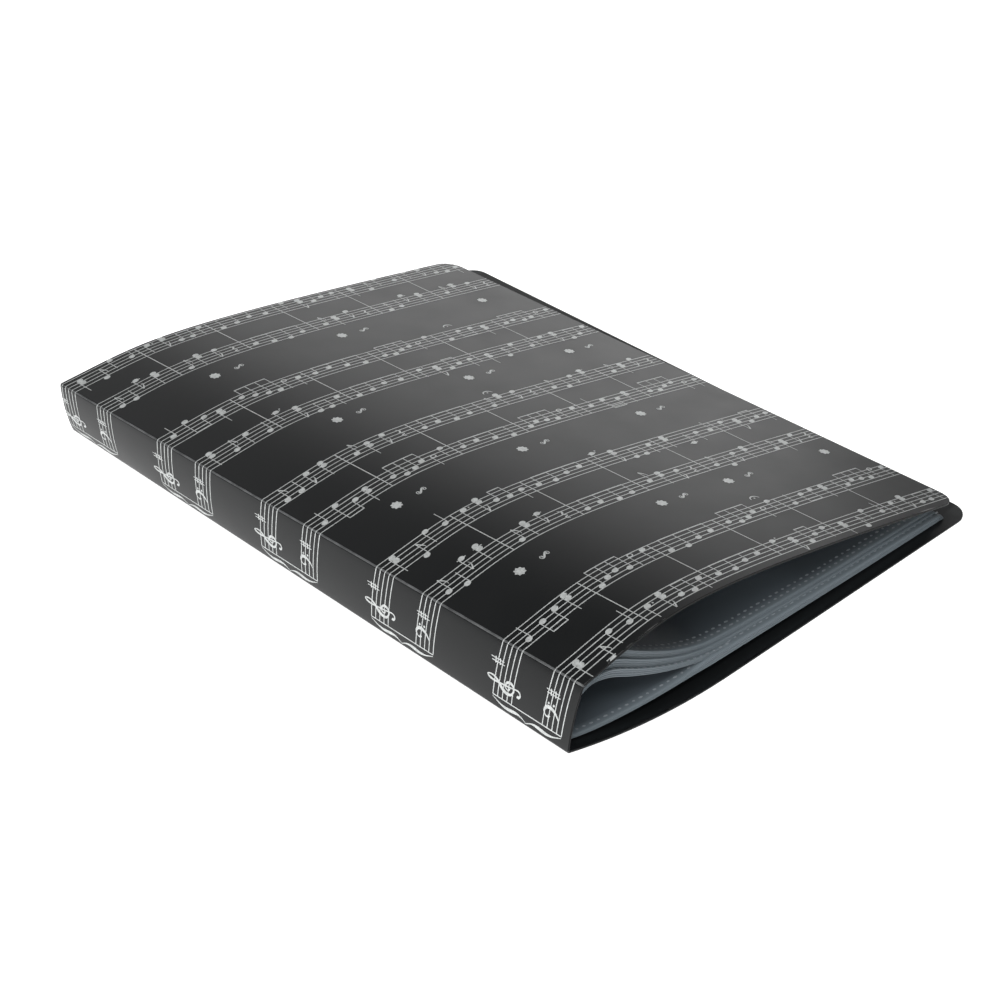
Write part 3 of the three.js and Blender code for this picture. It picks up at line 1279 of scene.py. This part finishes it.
# How far from the middle of its head a stem starts
stem_start = 0.3 * MM
beam_width = 0.55 * MM
beam_gap = 2.1 * MM
beam_reach = 7.2 * MM
note_dot_gap = 2.9 * MM
note_dot_radius = 0.4 * MM

# A flag, from the tip of its stem: (across, back towards the head, width), in millimetres
FLAG = [(0, 0, 0.7), (1.2, 1.8, 0.6), (1.9, 3.4, 0.3), (1.5, 4.9, 0.1)]


class StaffWriter:
    """Writes notes on one staff of the front cover"""

    def __init__(self, ink, system, staff):
        settings = music_print()
        self.ink = ink
        self.foot = staff_foot(system, staff)
        self.top = staff_top(system, staff)
        self.spacing = settings.line_spacing
        self.line_width = settings.line_width

    def height(self, step):
        return self.foot + step * self.spacing / 2

    def head(self, x, step, hollow=False):
        y = self.height(step)
        if hollow:
            outline = round_outline(x, y, ring_half_length, ring_half_height, note_turn)
            ring = [(px, py, ring_width) for px, py in outline]
            self.ink.brush(ring + ring[:2], head_layer)
        else:
            outline = round_outline(x, y, note_length / 2, note_height / 2, note_turn)
            self.ink.fill(outline, head_layer)
        below, above = range(-2, step - 1, -2), range(top_step + 2, step + 1, 2)
        for extra in (*below, *above):
            at = self.height(extra)
            ends = (x - ledger_half, at), (x + ledger_half, at)
            self.ink.line(*ends, self.line_width, ledger_layer)

    def flag(self, x, y, side):
        points = [(x + out * MM, y - side * back * MM, width * MM) for out, back, width in FLAG]
        self.ink.brush(smooth_path(points, steps=4), beam_layer)

    def single(self, x, steps, up=False, flagged=False, hollow=False, dotted=False):
        for step in steps:
            self.head(x, step, hollow)
        side = 1 if up else -1
        low, high = self.height(min(steps)), self.height(max(steps))
        foot, tip = (low, high + stem_length) if up else (high, low - stem_length)
        at = x + side * stem_offset
        self.ink.line((at, foot + side * stem_start), (at, tip), stem_width, stem_layer)
        if flagged:
            self.flag(at, tip, side)
        if dotted:
            # A dot stands in a space, never on a line
            y = self.height(steps[-1] | 1)
            dot = round_outline(x + note_dot_gap, y, note_dot_radius, note_dot_radius)
            self.ink.fill(dot, head_layer)

    def beamed(self, first_stem, pitch, steps, up=True, beams=1, beam_edge=None):
        side = 1 if up else -1
        stems = [first_stem + i * pitch for i in range(len(steps))]
        heights = [self.height(step) for step in steps]
        for stem, step in zip(stems, steps):
            self.head(stem - side * stem_offset, step)
        if beam_edge is None:
            beam_edge = max(heights) + beam_reach if up else min(heights) - beam_reach
        for stem, y in zip(stems, heights):
            self.ink.line((stem, y), (stem, beam_edge), stem_width, stem_layer)
        left, right = stems[0] - stem_width / 2, stems[-1] + stem_width / 2
        for beam in range(beams):
            y = beam_edge - side * (beam_width / 2 + beam * beam_gap)
            self.ink.line((left, y), (right, y), beam_width, beam_layer, beam_pieces)

    def rest(self, x):
        draw_sign(self.ink, QUARTER_REST, x, self.foot, self.spacing)


# The tune is plain steps up and down, and starts at another place in each bar
TUNE = [1, 2, 4, 3, 2, 4, 5, 3, 1, 0, 2, 3]
bar_count = 6
run_bar = 3
notes_per_run = 4
run_pitch = 8.5 * MM
run_beam_rise = 0.4 * MM
wide_pitch = 7.4 * MM
middle_pitch = 6.2 * MM
close_pitch = 5.4 * MM

# How far the tune and the rhythm move on from one bar, system or staff to the next
tune_system_stride = 5
tune_staff_stride = 7
rhythm_count = 6
rhythm_bar_stride = 3
rhythm_system_stride = 2
rhythm_staff_stride = 4


def tune_step(index):
    return TUNE[index % len(TUNE)]


def write_run(writer, system, staff, bar_width):
    first = (run_bar - 0.5) * bar_width - (notes_per_run - 1) * run_pitch / 2
    start = tune_system_stride * system + tune_staff_stride * staff
    steps = [tune_step(start + i) for i in range(notes_per_run)]
    writer.beamed(first, run_pitch, steps, beam_edge=writer.top + run_beam_rise)


# One bar in one of six rhythms. Each note stands at a share of the bar's width, and its heads
# a few steps from the note that the tune has come to
def write_bar(writer, left, width, rhythm, start):
    def step(i, shift):
        return tune_step(start + i) + shift

    def at(share):
        return left + width * share

    if rhythm == 0:
        writer.single(at(0.18), [step(0, 2), step(0, 4)])
        writer.single(at(0.42), [step(1, -3)], up=True, flagged=True)
        writer.single(at(0.66), [step(2, 4)])
        writer.single(at(0.88), [step(3, 1)], up=True)
    elif rhythm == 1:
        writer.single(at(0.18), [step(0, 0)], up=True, flagged=True)
        writer.single(at(0.4), [step(1, 3), step(1, 5)])
        writer.single(at(0.64), [step(2, 5)], flagged=True)
        writer.rest(at(0.84))
    elif rhythm == 2:
        writer.single(at(0.15), [step(0, 1)], up=True)
        writer.beamed(at(0.36), wide_pitch, [step(1, 4), step(2, 3)], up=False, beams=2)
        writer.single(at(0.78), [step(3, 2), step(3, 4)])
    elif rhythm == 3:
        writer.single(at(0.16), [step(0, 5)], dotted=True)
        writer.single(at(0.38), [step(1, 3), step(1, 5)], flagged=True)
        writer.beamed(at(0.58), middle_pitch, [step(2, -1), step(3, 0)])
        writer.single(at(0.9), [step(4, 3)])
    elif rhythm == 4:
        writer.single(at(0.17), [step(0, -1)], up=True, flagged=True)
        writer.single(at(0.36), [step(1, -2)], up=True)
        writer.single(at(0.58), [step(2, 6)], flagged=True)
        writer.single(at(0.8), [step(3, 4), step(3, 6)])
    else:
        writer.beamed(at(0.16), close_pitch, [step(i, 1) for i in range(4)])
        writer.single(at(0.72), [step(5, 3)], hollow=True)
        writer.single(at(0.9), [step(6, 4)])


def across_lines(ink, system, from_across, to_across, pieces):
    width = music_print().line_width
    for y in line_heights(system):
        ink.line((from_across, y), (to_across(y), y), width, line_layer, pieces)


def bar_line(ink, system, across, width):
    foot, top = staff_foot(system, 1), staff_top(system, 0)
    ink.line((across, foot), (across, top), width, bar_layer, bar_line_pieces)


# Where a staff line ends at the fore edge, which its round corners draw in
def fore_limit(y):
    share = 1 - (corner_pull(y) + print_edge_margin) / at_section("front_reach", y)
    return share * front_print_reach


class MUSICFOLDER_OT_staff_print(bpy.types.Operator):
    """Staff lines and bar lines, over the spine and the front cover"""

    bl_idname = "music_folder.staff_print"
    bl_label = "Staff lines"

    def execute(self, context):
        settings = context.scene.folder_print
        web = wrapper().crease_width
        for system in range(system_count):
            number = system + 1
            front = Ink(on_front)
            across_lines(front, system, web, fore_limit, front_line_pieces)
            bar = 1
            while bar * settings.bar_width < front_print_reach - last_bar_margin:
                bar_line(front, system, bar * settings.bar_width, front_bar_line_width)
                bar += 1
            front.build(f"front_staff_lines_{number}", "front_board", [f"front_staves_{number}"])
            spine = Ink(on_spine)
            reach = spine_print_reach - web
            across_lines(spine, system, spine_bar_inset, lambda y: reach, spine_line_pieces)
            bar_line(spine, system, spine_bar_inset, spine_bar_line_width)
            replaced = [f"spine_staves_{number}"]
            spine.build(f"spine_staff_lines_{number}", "spine_and_pockets", replaced)
        return {"FINISHED"}


class MUSICFOLDER_OT_crease_print(bpy.types.Operator):
    """Staff lines where they cross the front crease"""

    bl_idname = "music_folder.crease_print"
    bl_label = "Print over the crease"

    def execute(self, context):
        settings = context.scene.folder_print
        shallow = wrapper().crease_depth / wrapper().board_thickness
        half = settings.line_width / 2
        points, faces = [], []
        for system in range(system_count):
            for y in line_heights(system):
                first = len(points)
                for edge in (y - half, y + half):
                    ends, corner = crease_ends("front_crease", edge)
                    points += web_line(ends, corner, edge, shallow, settings.ink_lift)
                for i in range(web_steps):
                    a = first + i
                    b = a + web_steps + 1
                    faces.append((a, b, b + 1, a + 1))
        lines = make_object("crease_staff_lines", points, faces, ink_finish())
        bend_at(lines, "front_crease")
        return {"FINISHED"}


# Places across the front of the signs, for each system, in millimetres
ASTERISKS = [(47, 118, 205), (58, 133, 196), (30, 99, 171), (30, 109, 150, 214), ()]
FERMATAS = [(), (167,), (128,), (), (146,)]

asterisk_drop = 11 * MM
asterisk_size = 5.0 * MM
turn_gap = 13 * MM
turn_unit = 1.7 * MM
# Beside an asterisk further across than this, a turn would reach over the fore edge
turn_limit = 200 * MM
fermata_gap = 4 * MM
fermata_scale = 0.8


# Signs under a system: an asterisk and, where there is room, a turn beside it
def draw_low_signs(ink, system):
    y = staff_foot(system, 1) - asterisk_drop
    for across in ASTERISKS[system]:
        x = across * MM
        draw_asterisk(ink, x, y, asterisk_size)
        if x < turn_limit:
            draw_sign(ink, TURN, x + turn_gap, y, turn_unit)


def draw_fermatas(ink, system):
    unit = music_print().line_spacing * fermata_scale
    for across in FERMATAS[system]:
        draw_fermata(ink, across * MM, staff_top(system, 0) + fermata_gap, unit)


class MUSICFOLDER_OT_note_print(bpy.types.Operator):
    """Notes, rests and signs of the front cover"""

    bl_idname = "music_folder.note_print"
    bl_label = "Notes"

    def execute(self, context):
        width = context.scene.folder_print.bar_width
        for system in range(system_count):
            number = system + 1
            for staff, kind, draw_signs in (
                (0, "treble", draw_fermatas),
                (1, "bass", draw_low_signs),
            ):
                ink = Ink(on_front)
                writer = StaffWriter(ink, system, staff)
                for bar in range(bar_count):
                    if bar + 1 == run_bar:
                        write_run(writer, system, staff, width)
                        continue
                    rhythm = rhythm_bar_stride * bar + rhythm_system_stride * system
                    rhythm += rhythm_staff_stride * staff
                    start = bar + tune_system_stride * system
                    write_bar(writer, bar * width, width, rhythm % rhythm_count, start)
                draw_signs(ink, system)
                ink.build(f"{kind}_notes_{number}", "front_board", [f"{kind}_run_{number}"])
        return {"FINISHED"}


# Across the spine from the back crease
treble_clef_place = 11.0 * MM
bass_clef_place = 11.4 * MM
sharp_place = 18.8 * MM

# In staff spaces
bass_clef_rise = 0.5
bass_clef_scale = 0.86
bass_dot_rises = (2.45, 3.5)
bass_dot_gap = 1.3
bass_dot_radius = 0.2
treble_sharp_rise = 4
bass_sharp_rise = 3

# Half of the brace, from its end to its point: (share of the half, distance from the bar line,
# width), the last two in millimetres
BRACE_HALF = [
    (0.0, 0.75, 0.25),
    (0.1, 1.4, 0.4),
    (0.22, 2.2, 0.6),
    (0.36, 2.65, 1.0),
    (0.5, 2.6, 1.3),
    (0.64, 2.3, 1.3),
    (0.76, 2.25, 0.9),
    (0.88, 2.7, 0.5),
    (1.0, 3.7, 0.25),
]


# Brace outside the system bar line: two hooks that meet in a point at the middle
def draw_brace(ink, system):
    middle = (system_top(system) + staff_foot(system, 1)) / 2
    for end in (system_top(system), staff_foot(system, 1)):
        hook = []
        for share, out, width in smooth_path(BRACE_HALF, steps=5):
            hook.append((spine_bar_inset - out * MM, mix(end, middle, share), width * MM))
        ink.brush(hook, brace_layer)


class MUSICFOLDER_OT_clef_print(bpy.types.Operator):
    """Braces, clefs and sharps, on the spine"""

    bl_idname = "music_folder.clef_print"
    bl_label = "Braces and clefs"

    def execute(self, context):
        unit = context.scene.folder_print.line_spacing
        for system in range(system_count):
            number = system + 1
            ink = Ink(on_spine)
            draw_brace(ink, system)
            treble, bass = staff_foot(system, 0), staff_foot(system, 1)
            draw_sign(ink, TREBLE_CLEF, treble_clef_place, treble, unit)
            clef_foot = bass + bass_clef_rise * unit
            draw_sign(ink, BASS_CLEF, bass_clef_place, clef_foot, bass_clef_scale * unit)
            radius = bass_dot_radius * unit
            for up in bass_dot_rises:
                at = bass_clef_place + bass_dot_gap * unit
                ink.fill(round_outline(at, bass + up * unit, radius, radius), sign_layer)
            draw_sharp(ink, sharp_place, treble + treble_sharp_rise * unit, unit)
            draw_sharp(ink, sharp_place, bass + bass_sharp_rise * unit, unit)
            ink.build(f"spine_signs_{number}", "spine_and_pockets", [f"spine_brace_{number}"])
        return {"FINISHED"}


# Pockets


pocket_fore_share = 0.95
# Steps in which the upper bundle fans out at the tail
upper_fan_steps = 3
upper_fan_step = 1.5 * MM
# How far the lower bundle reaches past the others at the tail
lower_reach = 1.3 * MM
# How far each leaf in turn lies out of line, in millimetres
STRAYS = (0.0, 0.22, 0.08, 0.3, 0.14, 0.26, 0.05)
head_fan_share = 0.4
frost_rows = 4
clear_rows = 12

# Faces of the two bundles: (share of the covers' width, share of the height between them)
UPPER_TOP = [
    (0.012, 0.72),
    (0.04, 0.765),
    (0.079, 0.8),
    (0.1185, 0.78),
    (0.198, 0.546),
    (0.264, 0.39),
    (0.316, 0.302),
    (0.36, 0.256),
    (0.43, 0.228),
    (0.514, 0.217),
    (0.707, 0.21),
    (pocket_fore_share, 0.28),
]
UPPER_FLOOR = [
    (0.012, 0.46),
    (0.035, 0.577),
    (0.06, 0.647),
    (0.098, 0.588),
    (0.153, 0.439),
    (0.216, 0.312),
    (0.283, 0.217),
    (0.345, 0.156),
    (0.42, 0.124),
    (0.514, 0.11),
    (0.707, 0.115),
    (pocket_fore_share, 0.133),
]
LOWER_TOP = [
    (0.012, 0.06),
    (0.066, 0.062),
    (0.145, 0.09),
    (0.28, 0.128),
    (0.35, 0.17),
    (0.514, 0.16),
    (0.707, 0.16),
    (pocket_fore_share, 0.2),
]
LOWER_FLOOR = [
    (0.012, 0.02),
    (0.066, 0.03),
    (0.145, 0.056),
    (0.28, 0.094),
    (0.35, 0.092),
    (0.514, 0.078),
    (0.707, 0.057),
    (pocket_fore_share, 0.035),
]


class Bundle:
    """A bundle of pockets between two faces of the stack"""

    def __init__(self, floor, top, leaves, fan_steps=1, fan_step=0.0, set_in=0.0):
        self.floor = smooth_path(floor, steps=8)
        self.top = smooth_path(top, steps=8)
        self.leaves = leaves
        self.fan_steps = fan_steps
        self.fan_step = fan_step
        self.set_in = set_in
        self.stations = len(self.floor)

    def point(self, station, y, share):
        floor, top = self.floor[station], self.top[station]
        low = between(floor[0], floor[1], y)
        return low.lerp(between(top[0], top[1], y), share)

    def leaf_share(self, leaf, side):
        half = pockets().leaf_share / 2
        return (leaf + 0.5 + side * half) / self.leaves


def tail_edge():
    return pockets().tail_margin - wrapper().cover_height / 2


# The leaves of a bundle fan out in steps at the tail, and no two edges are quite in line
def leaf_set_in(bundle, leaf):
    stray = STRAYS[leaf % len(STRAYS)] * MM
    fan = bundle.fan_step * int(bundle.fan_steps * leaf / bundle.leaves)
    return bundle.set_in + fan + stray


def leaf_rows(bundle, leaf):
    settings = pockets()
    tail = tail_edge() + leaf_set_in(bundle, leaf)
    head = tail_edge() + settings.length - head_fan_share * leaf_set_in(bundle, leaf)
    clear = tail + settings.frost_reach
    rows = [mix(tail, clear, i / frost_rows) for i in range(frost_rows)]
    return rows + [mix(clear, head, i / clear_rows) for i in range(clear_rows + 1)]


def build_leaf(name, bundle, leaf):
    rows = leaf_rows(bundle, leaf)
    skins = []
    for side in (1, -1):
        share = bundle.leaf_share(leaf, side)
        skin = []
        for y in rows:
            skin.append([place(bundle.point(i, y, share), y) for i in range(bundle.stations)])
        skins.append(skin)

    def frost(co):
        share = (co.y - rows[0]) / pockets().frost_reach
        return max(0.0, 1 - share * share)

    obj = sheet_between(name, *skins, film_finish())
    store_share(obj, "frost", frost)
    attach(obj, "spine_and_pockets")
    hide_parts("pocket_pages")


first_dot_place = 2 * MM
dot_sides = 10
dot_height = 0.1 * MM
# Rings round the top of a dot: (share of its reach, height in millimetres)
DOT_RINGS = ((0.6, 0.07), (1.0, -0.03))
DOT_LENGTHS = (1.0, 0.72, 1.15, 0.6, 0.9)
second_dots_gap = 2.6 * MM
fan_dots_margin = 0.75 * MM


# One low dome pressed into a leaf, longer along its edge than across it
def add_dot(points, faces, centre, along, half_length, half_width):
    across = Vector((0, 1, 0))
    up = along.cross(across).normalized()
    if up.z < 0:
        up = -up
    first = len(points)
    points.append(centre + up * dot_height)
    for ring, height in DOT_RINGS:
        for i in range(dot_sides):
            angle = 2 * math.pi * i / dot_sides
            reach = along * (math.cos(angle) * half_length * ring)
            reach += across * (math.sin(angle) * half_width * ring)
            points.append(centre + reach + up * height * MM)
    inner, outer = first + 1, first + 1 + dot_sides
    for i in range(dot_sides):
        j = (i + 1) % dot_sides
        faces.append((first, inner + i, inner + j))
        faces.append((inner + i, outer + i, outer + j, inner + j))


# A row of domes along the dotted weld of a leaf, no two next to each other alike
def build_weld_dots(name, bundle, leaf, margin):
    settings = pockets()
    y = tail_edge() + leaf_set_in(bundle, leaf) + margin
    share = bundle.leaf_share(leaf, 1)
    line = [place(bundle.point(i, y, share), y) for i in range(bundle.stations)]
    points, faces = [], []
    run = first_dot_place
    walked = 0.0
    count = 0
    for a, b in zip(line, line[1:]):
        length = (b - a).length
        while run < walked + length:
            centre = a.lerp(b, (run - walked) / length)
            count += 1
            half_length = settings.dot_length / 2 * DOT_LENGTHS[count % len(DOT_LENGTHS)]
            half_width = settings.dot_width / 2
            add_dot(points, faces, centre, (b - a).normalized(), half_length, half_width)
            run += settings.dot_pitch
        walked += length
    obj = make_object(name, points, faces, weld_finish())
    face_outwards(obj)
    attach(obj, "spine_and_pockets")


class MUSICFOLDER_OT_pockets(bpy.types.Operator):
    """Clear pockets in two bundles, welded along the spine and across the tail"""

    bl_idname = "music_folder.pockets"
    bl_label = "Pockets"

    def execute(self, context):
        settings = context.scene.folder_pockets
        upper_leaves, lower_leaves = settings.upper_leaves, settings.lower_leaves
        upper = Bundle(UPPER_FLOOR, UPPER_TOP, upper_leaves, upper_fan_steps, upper_fan_step)
        lower = Bundle(LOWER_FLOOR, LOWER_TOP, lower_leaves, set_in=-lower_reach)
        for leaf in range(lower_leaves):
            build_leaf(f"lower_pocket_{leaf + 1}", lower, leaf)
        for leaf in range(upper_leaves):
            build_leaf(f"upper_pocket_{leaf + 1}", upper, leaf)
        margin = settings.weld_margin
        build_weld_dots("lower_weld_dots", lower, lower_leaves - 1, margin)
        build_weld_dots("upper_weld_dots", upper, upper_leaves - 1, margin)
        second_margin = margin + second_dots_gap
        build_weld_dots("upper_second_dots", upper, upper_leaves - 1, second_margin)
        step = upper_leaves // upper_fan_steps
        for number in range(1, upper_fan_steps):
            build_weld_dots(f"fan_weld_dots_{number}", upper, number * step, fan_dots_margin)
        return {"FINISHED"}


spine_weld_width = 4 * MM
spine_weld_clearance = 0.8 * MM
spine_weld_end_gap = 1.5 * MM
spine_weld_softness = 0.3 * MM
spine_weld_steps = 24
# Shares of the height between the covers
spine_weld_foot = 0.025
spine_weld_top = 0.715


class MUSICFOLDER_OT_spine_weld(bpy.types.Operator):
    """The weld that holds the pockets together along the spine, in the pocket film"""

    bl_idname = "music_folder.spine_weld"
    bl_label = "Spine weld"

    def execute(self, context):
        settings = context.scene.folder_pockets
        sheet = wrapper()
        tail = tail_edge() + spine_weld_end_gap
        head = tail_edge() + settings.length - spine_weld_end_gap
        steps = spine_weld_steps
        heights = [mix(spine_weld_foot, spine_weld_top, j / steps) for j in range(steps + 1)]
        near = (sheet.board_thickness + spine_weld_clearance) / sheet.back_cover_width
        far = near + spine_weld_width / sheet.back_cover_width
        skins = []
        for width_share in (near, far):
            skin = []
            for i in range(steps + 1):
                y = mix(tail, head, i / steps)
                skin.append([place(between(width_share, height, y), y) for height in heights])
            skins.append(skin)
        weld = sheet_between("pocket_spine_weld", *skins, film_finish())
        soften_rim(weld, spine_weld_softness)
        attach(weld, "spine_and_pockets")
        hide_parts("pocket_pages")
        return {"FINISHED"}


# Stage


# Soft lights, aimed at the folder: (name, place, width, height, setting of its power), in metres
PANELS = [
    ("Key light", (-2.0, -1.2, 0.9), 2.0, 1.6, "key_power"),
    ("Overhead light", (-0.8, -1.0, 2.4), 1.4, 1.4, "overhead_power"),
    ("Backdrop light", (1.1, 1.48, 0.22), 1.8, 0.44, "backdrop_power"),
    ("Upper backdrop light", (1.0, 1.55, 1.05), 2.6, 1.1, "upper_backdrop_power"),
]
floor_reach = 12
floor_drop = 0.2 * MM
FLOOR_FINISH = {
    "Base Color": (0.45, 0.45, 0.45, 1),
    "Roughness": 0.6,
    "Specular IOR Level": 0.2,
    "Emission Color": (1, 1, 1, 1),
    "Emission Strength": 0.95,
}

camera_right = Vector((0.72357, -0.69019, -0.00937))
camera_up = Vector((0.39523, 0.40315, 0.82539))
camera_forward = Vector((0.56590, 0.60093, -0.56449))


class MUSICFOLDER_OT_stage(bpy.types.Operator):
    """Pale floor, soft studio light and the photograph's camera"""

    bl_idname = "music_folder.stage"
    bl_label = "Stage"

    def execute(self, context):
        scene = context.scene
        settings = scene.folder_stage
        scene.view_settings.view_transform = "Standard"
        scene.view_settings.look = "None"
        self.add_floor()
        self.add_sky(scene, settings)
        for name, at, width, height, power in PANELS:
            self.add_panel(name, at, width, height, getattr(settings, power))
        self.add_camera(scene, settings)
        return {"FINISHED"}

    def add_floor(self):
        corners = ((-1, -1), (1, -1), (1, 1), (-1, 1))
        points = [(x * floor_reach, y * floor_reach, -floor_drop) for x, y in corners]
        material, _, shader = new_material("Pale floor")
        set_inputs(shader, FLOOR_FINISH)
        floor = make_object("pale_floor", points, [(0, 1, 2, 3)], material, smooth=False)

    def add_sky(self, scene, settings):
        world = bpy.data.worlds.new("Studio surroundings")
        world.use_nodes = True
        background = world.node_tree.nodes["Background"]
        set_inputs(background, {"Color": (1, 1, 1, 1), "Strength": settings.sky_strength})
        scene.world = world

    def add_panel(self, name, at, width, height, power):
        light = bpy.data.lights.new(name, "AREA")
        light.shape = "RECTANGLE"
        light.size = width
        light.size_y = height
        light.energy = power
        obj = bpy.data.objects.new(name, light)
        bpy.context.scene.collection.objects.link(obj)
        obj.location = at
        obj.rotation_euler = (-Vector(at)).to_track_quat("-Z", "Y").to_euler()

    def add_camera(self, scene, settings):
        camera = bpy.data.cameras.new("Photograph camera")
        camera.lens = settings.lens
        camera.sensor_width = 36
        camera.clip_start = 0.01
        obj = bpy.data.objects.new("Photograph camera", camera)
        scene.collection.objects.link(obj)
        turn = Matrix((camera_right, camera_up, -camera_forward)).transposed().to_4x4()
        obj.matrix_world = Matrix.Translation(settings.camera_place) @ turn
        scene.camera = obj


class MUSICFOLDER_PT_panel(bpy.types.Panel):
    """Music folder builder"""

    bl_label = "Music Folder"
    bl_idname = "MUSICFOLDER_PT_panel"
    bl_space_type = "VIEW_3D"
    bl_region_type = "UI"
    bl_category = "Music Folder"

    def draw(self, context):
        layout = self.layout
        for operator in BUILD_ORDER:
            layout.operator(operator.bl_idname)
        for group in SETTINGS:
            settings = getattr(context.scene, group)
            box = layout.box()
            for name in settings.bl_rna.properties.keys():
                if name not in ("rna_type", "name"):
                    box.prop(settings, name)


SETTINGS = {
    "folder_wrapper": WrapperSettings,
    "folder_pockets": PocketSettings,
    "folder_print": PrintSettings,
    "folder_finish": FinishSettings,
    "folder_stage": StageSettings,
}

BUILD_ORDER = [
    MUSICFOLDER_OT_stage,
    MUSICFOLDER_OT_front_cover,
    MUSICFOLDER_OT_spine_panel,
    MUSICFOLDER_OT_back_cover,
    MUSICFOLDER_OT_creases,
    MUSICFOLDER_OT_pockets,
    MUSICFOLDER_OT_spine_weld,
    MUSICFOLDER_OT_staff_print,
    MUSICFOLDER_OT_crease_print,
    MUSICFOLDER_OT_note_print,
    MUSICFOLDER_OT_clef_print,
]


def register():
    for group, kind in SETTINGS.items():
        bpy.utils.register_class(kind)
        setattr(bpy.types.Scene, group, PointerProperty(type=kind))
    for operator in BUILD_ORDER:
        bpy.utils.register_class(operator)
    bpy.utils.register_class(MUSICFOLDER_PT_panel)


def unregister():
    bpy.utils.unregister_class(MUSICFOLDER_PT_panel)
    for operator in reversed(BUILD_ORDER):
        bpy.utils.unregister_class(operator)
    for group, kind in reversed(SETTINGS.items()):
        delattr(bpy.types.Scene, group)
        bpy.utils.unregister_class(kind)


def main():
    register()
    bpy.ops.music_folder.stage()
    bpy.ops.music_folder.front_cover()
    bpy.ops.music_folder.spine_panel()
    bpy.ops.music_folder.back_cover()
    bpy.ops.music_folder.creases()
    bpy.ops.music_folder.pockets()
    bpy.ops.music_folder.spine_weld()
    bpy.ops.music_folder.staff_print()
    bpy.ops.music_folder.crease_print()
    bpy.ops.music_folder.note_print()
    bpy.ops.music_folder.clef_print()


if __name__ == "__main__":
    main()
